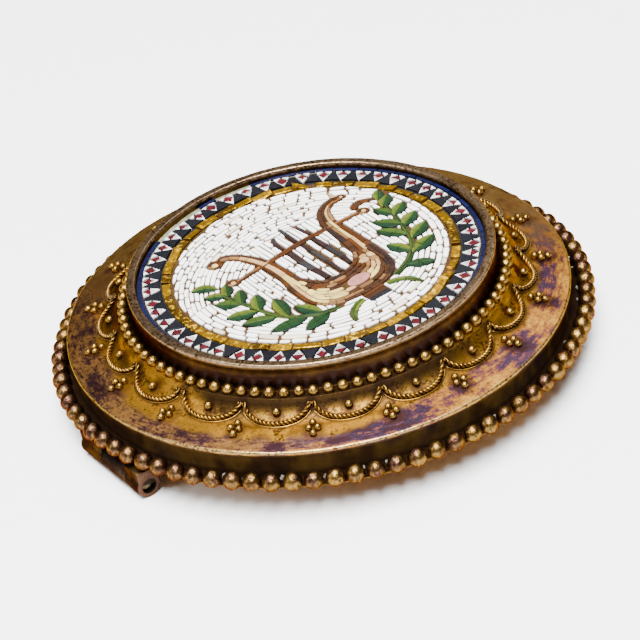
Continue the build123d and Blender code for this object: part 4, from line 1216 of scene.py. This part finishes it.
for number, (*laying, zone) in enumerate(ROW_GROUPS):
    outlines = lay_rows(*laying, np.array(zone, float), 62 + number)
    count = len(outlines)
    warm = draw.uniform(0, 1, (count, 1))
    colours = WHITE * (1 - 0.12 * warm) - YELLOWING * warm
    tan = draw.uniform(0, 1, count) > 0.965
    colours[tan] = STAINED * draw.uniform(0.8, 1.1, (tan.sum(), 1))
    joints = draw.uniform(0.014, 0.052, (count, 1, 1))
    ground_batches.append((inset(outlines * UNIT, joints), colours))
stones(
    "ground_stones", ground_batches, white_glass, "white_glass", "white_ground",
    seed=71, grime=(0.085, 0.045, 0.012), bevel=0.032, dirty=0.95,
)


# Lyre: long brown, tan and cream rods along its arms and bar, short ones in rows in its sound
# box, a rosy oval stone in its middle, and rods wrapped round the knobs.
RUST, BROWN, UMBER = (0.048, 0.0155, 0.0042), (0.03, 0.0124, 0.0058), (0.0165, 0.009, 0.0083)
TAN, SAND, CREAM = (0.138, 0.069, 0.025), (0.34, 0.204, 0.088), (0.456, 0.334, 0.108)
ROSE, SLATE, IRON = (0.272, 0.109, 0.097), (0.0077, 0.0082, 0.0115), (0.018, 0.017, 0.018)


def rods_along(rows, low, high, pieces, colours, seed, rounding=0.0):
    """Rods that fill part of a band: from low to high of its half width, -1 its right edge and 1
    its left, cut across into pieces, six points along each side of each. Rounding is the share
    of the width that each rod loses at its ends."""
    draw = np.random.default_rng(seed)
    middle, left, half = band_frame(rows)
    cuts = np.linspace(0, 1, pieces + 1)
    cuts[1:-1] += draw.uniform(-0.2, 0.2, pieces - 1) / pieces
    t = cuts[:-1, None] + (cuts[1:] - cuts[:-1])[:, None] * np.linspace(0, 1, 6)[None]
    spots = t.ravel() * (len(rows) - 1)
    line = np.arange(len(rows))
    values = [np.interp(spots, line, column) for column in (*middle.T, *left.T, half)]
    x, y, nx, ny, width = (value.reshape(pieces, 6) for value in values)
    middle_share = (low + high) / 2
    swell = 1 - rounding * np.abs(np.linspace(-1, 1, 6)) ** 3
    edges = []
    for edge in (low, high):
        share = middle_share + (edge - middle_share) * swell
        edges.append(np.stack([x + nx * width * share, y + ny * width * share], axis=-1))
    outlines = np.concatenate([edges[0], edges[1][:, ::-1]], axis=1)
    tints = np.array([colours[i * len(colours) // pieces] for i in range(pieces)], float)
    return outlines, tints * draw.uniform(0.82, 1.18, (pieces, 1))


def set_rods(parts, joint):
    """Batch of rods in millimetres with their joints taken off, and a colour for each point."""
    outlines = np.concatenate([rods for rods, _ in parts])
    tints = []
    for rods, shade in parts:
        shade = shade.reshape(len(rods), -1, 3)
        tints.append(np.broadcast_to(shade, (*rods.shape[:2], 3)))
    tints = np.concatenate(tints)
    turned_round = (areas(outlines) < 0)[:, None, None]
    tints = np.where(turned_round, tints[:, ::-1], tints)
    return inset(outlines * UNIT, joint), tints


def beside(line, gap, half):
    """Band of one half width whose middle runs to the left of a line, at the given gap."""
    middle, left, _ = band_frame(np.column_stack([line, np.ones(len(line))]))
    return np.column_stack([middle + left * gap, np.full(len(line), half)])


# band, from and to which share of its half width, rods, colours
LYRE_RODS = (
    (left_arm, -1, -0.52, 7, (RUST, RUST, BROWN, RUST)),
    (left_arm, -0.52, 0.36, 8, (TAN, SAND, SAND, CREAM)),
    (left_arm, 0.36, 1, 7, (BROWN, BROWN, RUST, BROWN)),
    (right_arm, -1, -0.34, 9, (BROWN, BROWN, UMBER, BROWN)),
    (right_arm, -0.34, 0.06, 8, (RUST, BROWN, TAN, RUST)),
    (right_arm, 0.06, 0.5, 8, (TAN, SAND, CREAM, SAND)),
    (right_arm, 0.5, 1, 8, (RUST, TAN, RUST, RUST)),
    (crossbar, -1, 0.05, 10, (BROWN, RUST, RUST, BROWN, RUST, RUST)),
    (crossbar, 0.05, 1, 9, (TAN, TAN, RUST, RUST, RUST, TAN, TAN)),
    (horn_tip, -1, 1, 1, (SAND,)),
    (tail_scroll, -1, 1, 4, (RUST, BROWN, RUST, BROWN)),
)
lyre_rods = [rods_along(*row, 81 + number) for number, row in enumerate(LYRE_RODS)]
for number, (x, y, radius) in enumerate(KNOBS):
    turn = np.linspace(0.4, 0.4 + 2 * np.pi, 25)
    wrap = np.column_stack([(x, y) + polar(radius * 0.74, turn), np.full(25, radius * 0.26)])
    lyre_rods.append(rods_along(wrap, -1, 1, 5, (RUST, BROWN, TAN, BROWN, RUST), 92 + number))
    core = ring_outline(x, y, radius * 0.46, 12)[None]
    lyre_rods.append((core, np.array([SAND if number else CREAM])))
# the sound box's rims: line, gap, half width, rods, colours
OUTER_RIM = (RUST, RUST, TAN, TAN, BROWN, BROWN, BROWN, UMBER, UMBER, UMBER, UMBER)
SECOND_RIM = (SAND, SAND, CREAM, CREAM, TAN, TAN, BROWN, TAN, BROWN, UMBER, BROWN, BROWN)
INNER_RIM = (TAN, RUST, BROWN, BROWN, UMBER, BROWN, BROWN, BROWN)
RIMS = (
    (box_outer, 1.7, 1.7, 24, (BROWN, *OUTER_RIM)),
    (box_outer, 5.0, 1.6, 21, SECOND_RIM),
    (box_inner, 1.6, 1.6, 13, INNER_RIM),
)
for number, (line, gap, half, rods, colours) in enumerate(RIMS):
    lyre_rods.append(rods_along(beside(line, gap, half), -1, 1, rods, colours, 97 + number))


def evenly(line, count):
    """Points at equal steps of length along a line."""
    length = np.concatenate([[0], np.cumsum(np.linalg.norm(np.diff(line, axis=0), axis=1))])
    places = np.linspace(0, length[-1], count)
    return np.column_stack([np.interp(places, length, line[:, i]) for i in range(2)])


outer_edge, inner_edge = beside(box_outer, 6.9, 0)[:, :2], beside(box_inner, 3.5, 0)[:, :2]
inner_zone = np.concatenate([outer_edge, inner_edge])
one, two = evenly(outer_edge, 61), evenly(inner_edge[::-1], 61)
box_rows = np.column_stack([(one + two) / 2, np.linalg.norm(one - two, axis=1) / 2])
ROSY_MIDDLE, ROSY_HALF = (11, -47.5), (10.2, 6.2)
rosy = ROSY_MIDDLE + polar(1, np.arange(16) * np.pi / 8) * ROSY_HALF
# x, y and colour of the stones round some spots of the sound box
SPOTS = (
    (-25, -18, CREAM), (-26, -30, CREAM), (-27, -42, CREAM), (-22, -50, CREAM), (-14, -55, CREAM),
    (-20, -38, CREAM), (-19, -25, BROWN), (-13, -33, RUST), (-8, -37, TAN), (4, -37, TAN),
    (-6, -42, BROWN), (4, -42, RUST), (-8, -48, CREAM), (-2, -48, SAND), (-6, -55, SAND),
    (6, -57, TAN), (16, -57, TAN), (14, -35, BROWN), (22, -33, RUST), (26, -38, TAN),
    (27, -44, CREAM), (33, -42, SAND), (30, -52, BROWN), (22, -56, BROWN), (33, -24, SAND),
    (36, -32, TAN), (39, -40, BROWN), (40, -22, TAN), (42, -30, BROWN), (0, -61, BROWN),
    (-14, -60, TAN), (20, -61, BROWN), (31, -20, RUST),
)
spots = np.array([spot[:2] for spot in SPOTS], float)
palette = np.array([spot[2] for spot in SPOTS])
rows = []
# first and last point of the sound box's line, rows side by side, rods in each
for first, last, across, pieces in ((0, 13, 2, 3), (12, 49, 6, 6), (48, 60, 2, 3)):
    borders = np.linspace(-1, 1, across + 1)
    part = box_rows[first : last + 1]
    for number, (low, high) in enumerate(zip(borders, borders[1:])):
        rods = rods_along(part, low, high, pieces, (CREAM,), 400 + first + number, 0.45)
        rows.append(rods[0])
inner = trimmed(np.concatenate(rows), [rosy], inner_zone, 0.3)
nearest = np.linalg.norm(inner.mean(1)[:, None] - spots[None], axis=2).argmin(1)
tints = palette[nearest] * np.random.default_rng(101).uniform(0.75, 1.2, (len(inner), 1))
foot_band = smooth(((9.6, -66.6, 9.4), (9.8, -72, 9.5), (9.9, -78.6, 9.4)))
foot = rods_along(foot_band, -1, 1, 3, (RUST, BROWN, SLATE), 102)
lyre_batches = [set_rods([*lyre_rods, (inner, tints), foot], 0.022)]
lyre_batches.append((inset(rosy[None] * UNIT, 0.04), np.array([ROSE])))
stones(
    "lyre_stones", lyre_batches, colour_glass, "tan_glass", "lyre",
    seed=103, grime=(0.05, 0.022, 0.01), bevel=0.025, dirty=0.5,
)

# Strings: thin rods of dark umber glass, two or three end to end, set in the putty between
# the lyre's arms.
string_rods = []
for number, rows in enumerate(strings):
    shades = (UMBER, IRON, UMBER) if number < 3 else (UMBER, IRON)
    string_rods.append(rods_along(rows, -1, 1, len(shades), shades, 110 + number))
stones(
    "string_stones", [set_rods(string_rods, 0.02)], colour_glass, "umber_glass", "lyre_strings",
    seed=117, grime=(0.03, 0.018, 0.012), bevel=0.025, dirty=0.5,
)


# Laurel: each leaf has a light and a dark half of long green glass rods, and sits on a stem
# of olive and fern green ones.
LIME, LEAF, FERN = (0.075, 0.086, 0.0082), (0.025, 0.048, 0.0075), (0.008, 0.025, 0.0069)
TEAL, OLIVE = (0.0036, 0.0136, 0.0076), (0.025, 0.034, 0.0081)
STEMS = ((FERN, OLIVE, FERN), (OLIVE, LEAF, OLIVE))
SHOOTS = ((LEAF, OLIVE), (LIME, LEAF))
LOW_LEAF = -45


def laurel(name, stem, shoot, leaves, node, seed):
    """Stones of one branch: two halves of each leaf, split from base to tip, and the stems."""
    draw = np.random.default_rng(seed)
    rods = [
        rods_along(stem, -1, 0, 9, STEMS[0], seed + 1),
        rods_along(stem, 0, 1, 8, STEMS[1], seed + 2),
        rods_along(shoot, -1, 0, 4, SHOOTS[0], seed + 3),
        rods_along(shoot, 0, 1, 4, SHOOTS[1], seed + 4),
    ]
    for number, row in enumerate(leaves):
        normal = np.array([-(row[3] - row[1]), row[2] - row[0]])
        left_is_light = normal @ np.array([-0.35, 1.0]) > 0
        light = FERN if row[3] < LOW_LEAF else (LIME if draw.uniform() > 0.3 else LEAF)
        rib = LEAF if row[3] > LOW_LEAF else FERN
        for low, high, edge, shift in ((-1, 0, not left_is_light, 10), (0, 1, left_is_light, 40)):
            half_seed = seed + shift + number
            outlines, _ = rods_along(leaf_rows(row), low, high, 2, (rib,), half_seed)
            outer = np.array(light if edge else TEAL) * draw.uniform(0.85, 1.2)
            middle = np.array(rib if edge else FERN) * draw.uniform(0.85, 1.15)
            pair = (outer, middle) if low < 0 else (middle, outer)
            rods.append((outlines, np.tile(np.repeat(pair, 6, axis=0), (2, 1, 1))))
    stones(
        name, [set_rods(rods, 0.012)], colour_glass, "green_glass", node,
        seed=seed + 5, grime=(0.018, 0.022, 0.008), bevel=0.02, dirty=0.3,
    )


laurel("laurel_left_stones", left_stem, left_shoot, LEFT_LEAVES, "laurel_left", 120)
laurel("laurel_right_stones", right_stem, right_shoot, RIGHT_LEAVES, "laurel_right", 220)


# Border: gold glass squares round the ground, then triangles of white stones round a red
# lozenge with slate ones between, then a thin line of cobalt glass, part of it lost.
def sector(inner, outer, starts, ends):
    """Outlines of ring pieces: six points along the inner circle and six back along the outer."""
    turn = starts[:, None] + (ends - starts)[:, None] * np.linspace(0, 1, 6)[None]
    return np.concatenate([polar(inner, turn), polar(outer, turn)[:, ::-1]], axis=1)


def following(turns):
    """The angle that follows each one on the circle."""
    return np.append(turns[1:], turns[0] + 2 * np.pi)


def cut_corners(corners, reach):
    """Closed outline with two points near each corner in place of the corner."""
    to_before = unit(np.roll(corners, 1, axis=0) - corners) * reach
    to_after = unit(np.roll(corners, -1, axis=0) - corners) * reach
    return np.stack([corners + to_before, corners + to_after], axis=1).reshape(-1, 2)


def round_the_ring(shape, turns, shift, grow):
    """Copies of an outline of (radius, tangential place) set round the disc's axis: each is
    scaled about its middle, moved along the radius and turned by its own angle."""
    middle = shape.mean(0)
    local = middle + (shape - middle)[None] * grow[:, None, None]
    return spun(local[..., 0] + shift[:, None], local[..., 1], turns)


GOLD_PIECES, GOLD_INNER, GOLD_OUTER = 41, 10.68, 11.38
draw = np.random.default_rng(300)
starts = np.arange(GOLD_PIECES) + draw.uniform(-0.22, 0.22, GOLD_PIECES)
starts = starts * 2 * np.pi / GOLD_PIECES
outlines = sector(GOLD_INNER, GOLD_OUTER, starts + 0.005, following(starts) - 0.005)
tints = np.array([0.3, 0.155, 0.0035]) * draw.uniform(0.7, 1.15, (GOLD_PIECES, 1))
tints[draw.uniform(0, 1, GOLD_PIECES) > 0.8] = np.array([0.085, 0.045, 0.006])
foil = Finish("gold_glass")
tint = foil.make("ShaderNodeAttribute", {"attribute_name": "tint"}, {}, "Color")
crackle = foil.noise(0.35, 4.0, 4.0)
fleck = foil.noise(0.12, 3.0, 9.0)
# Dark bare cracks, and bright patches that are painted highlights.
bare, foil_painted_highlight = (crackle * 0.7 + fleck * 0.3).fade(0.52, 0.6), crackle.fade(0.46, 0.38)
colour = foil.blend(tint, ((0.03, 0.015, 0.004), bare * 0.9), ((0.62, 0.36, 0.012), foil_painted_highlight))
roughness, metallic = 0.32 + fleck * 0.25, 0.85 - bare * 0.6
relief = crackle + fleck * 0.5
foil_finish = foil.wear(colour, roughness, relief, 0.02, metallic, 0.4, (0.55, 0.32, 0.04))
stones(
    "gold_stones", [(inset(outlines, 0.02), tints)], foil_finish, "gold_glass", "gold_ring",
    seed=301, grime=(0.012, 0.006, 0.002), bevel=0.04, dirty=0.9, lift=0.02, tilt=0.12,
)

TRIANGLES = 50
turns = (np.arange(TRIANGLES) + draw.uniform(-0.13, 0.13, TRIANGLES)) * 2 * np.pi / TRIANGLES
shift = draw.normal(0, 0.03, TRIANGLES)
grow = draw.uniform(0.92, 1.05, TRIANGLES)
wing = np.array([(12.79, -0.64), (12.83, -0.05), (12.4, -0.43), (12.32, -0.44)])
tip = np.array([(12.25, -0.42), (11.83, 0.0), (12.25, 0.42), (11.47, 0.0)])
lozenge = np.array([(12.8, 0.0), (12.32, 0.42), (11.8, 0.0), (12.32, -0.42)])
slate_shape = np.array([(11.5, -0.7), (11.5, 0.7), (12.74, 0.17), (12.74, -0.17)])
white_batches = []
for shape, cut in ((wing, 0.03), (wing * (1, -1), 0.03), (tip, 0.06)):
    outlines = round_the_ring(cut_corners(shape, cut), turns, shift, grow)
    outlines += draw.normal(0, 0.008, outlines.shape)
    tints = np.array([0.62, 0.59, 0.58]) * draw.uniform(0.7, 1.15, (TRIANGLES, 1))
    white_batches.append((inset(outlines, 0.015), tints))
stones(
    "white_triangle_stones", white_batches, white_glass, "white_glass", "white_triangles",
    seed=302, grime=(0.1, 0.07, 0.05), bevel=0.03, dirty=0.6,
)
lozenge_grow = grow * draw.uniform(0.78, 0.95, TRIANGLES)
outlines = round_the_ring(cut_corners(lozenge, 0.05), turns, shift, lozenge_grow)
tints = np.array([0.052, 0.0035, 0.0065]) * draw.uniform(0.75, 1.2, (TRIANGLES, 1))
stones(
    "red_lozenge_stones", [(inset(outlines, 0.015), tints)], colour_glass, "red_glass",
    "red_diamonds", seed=303, grime=(0.03, 0.006, 0.006), bevel=0.03, dirty=0.6,
)
slate_turns = (following(turns) + turns) / 2
outlines = round_the_ring(cut_corners(slate_shape, 0.02), slate_turns, 0 * shift, grow)
tints = np.array([0.0046, 0.0048, 0.0068]) * draw.uniform(0.8, 1.25, (TRIANGLES, 1))
stones(
    "slate_triangle_stones", [(inset(outlines, 0.03), tints)], colour_glass, "slate_glass",
    "slate_triangles", seed=304, grime=(0.003, 0.003, 0.004), bevel=0.03, dirty=0.6,
)

BLUE_PIECES, BLUE_INNER, BLUE_OUTER = 48, 12.95, 13.25
BLUE_LOSSES = ((79, 90), (102, 119))
starts = np.arange(0, 360, 360 / BLUE_PIECES) + draw.uniform(-1.5, 1.5, BLUE_PIECES)
starts = np.radians(starts)
ends = following(starts)
middle_turn = np.degrees((starts + ends) / 2)
kept = np.ones(BLUE_PIECES, bool)
for low, high in BLUE_LOSSES:
    kept &= (middle_turn < low - 2) | (middle_turn > high + 2)
outlines = sector(BLUE_INNER, BLUE_OUTER, starts[kept] + 0.003, ends[kept] - 0.003)
tints = np.array([0.003, 0.004, 0.024]) * draw.uniform(0.7, 1.25, (kept.sum(), 1))
stones(
    "cobalt_stones", [(inset(outlines, 0.01), tints)], colour_glass, "cobalt_glass", "blue_ring",
    seed=305, grime=(0.004, 0.004, 0.02), bevel=0.02, dirty=0.4,
)

# Putty: the hard brown paste that the stones stand in, just below their tops, grey-green where
# the cobalt has fallen out.
PUTTY_COLUMNS = 300
PUTTY_FOOT = TILE_Z - 0.04
putty_radii = np.concatenate([[0.4], np.arange(1.0, 13.2, 0.32), [13.28, 13.3]])
putty_profile = np.column_stack([putty_radii, np.full(len(putty_radii), MOSAIC_Z - 0.16)])
bed = turned(putty_profile, PUTTY_COLUMNS)
bed[..., 2] += 0.03 * ripple(bed, 0.8, 311) + 0.015 * ripple(bed, 0.35, 312)
skirt = bed[-1:].copy()
skirt[..., 2] = PUTTY_FOOT
rows = np.concatenate([bed, skirt])
hubs = [[0, 0, MOSAIC_Z - 0.12], [0, 0, PUTTY_FOOT]]
points = np.concatenate([rows.reshape(-1, 3), hubs])
ring = np.arange(PUTTY_COLUMNS)
last_row = (len(rows) - 1) * PUTTY_COLUMNS
ends = [fan(len(points) - 2, ring), fan(len(points) - 1, last_row + ring[::-1])]
putty = Finish("putty")
x, y, from_axis, level_z = putty.axes()
lump = putty.noise(0.7, 4.0, 1.0)
crumb = putty.noise(0.12, 3.0, 2.0)
paste = putty.ramp(
    lump * 0.6 + crumb * 0.4,
    (0.36, 0.016, 0.007, 0.002), (0.5, 0.05, 0.022, 0.005), (0.64, 0.01, 0.005, 0.002),
)
gold_edge = putty.ramp(crumb, (0.4, 0.014, 0.006, 0.002), (0.6, 0.06, 0.03, 0.006))
border_paste = putty.ramp(crumb, (0.4, 0.004, 0.004, 0.004), (0.6, 0.012, 0.01, 0.009))
loss_paste = putty.ramp(
    lump * 0.5 + crumb * 0.5, (0.38, 0.07, 0.07, 0.045), (0.6, 0.2, 0.2, 0.13)
)
colour = putty.blend(
    paste,
    (gold_edge, from_axis.fade(GOLD_INNER - 0.2, GOLD_INNER - 0.14)),
    (border_paste, from_axis.fade(GOLD_OUTER - 0.08, GOLD_OUTER - 0.02)),
    (loss_paste, from_axis.fade(BLUE_INNER - 0.09, BLUE_INNER - 0.02) * y.fade(9.0, 11.0)),
)
putty_finish = putty.wear(colour, 0.8, lump + crumb, 0.06, strength=0.9, specular=0.15)
bed_faces = grid_faces(len(rows), PUTTY_COLUMNS)[:, ::-1]
new_piece("putty_bed", points, [bed_faces, *ends], putty_finish, "slab", [])

# Slab under the mosaic: a plain disc in the bezel's pocket, all hidden. It is the CAD solid,
# in the colours of the putty.
slab_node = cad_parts["mosaic_slab"]
for slot_place in slab_node.material_slots:
    slot_place.material = putty_finish
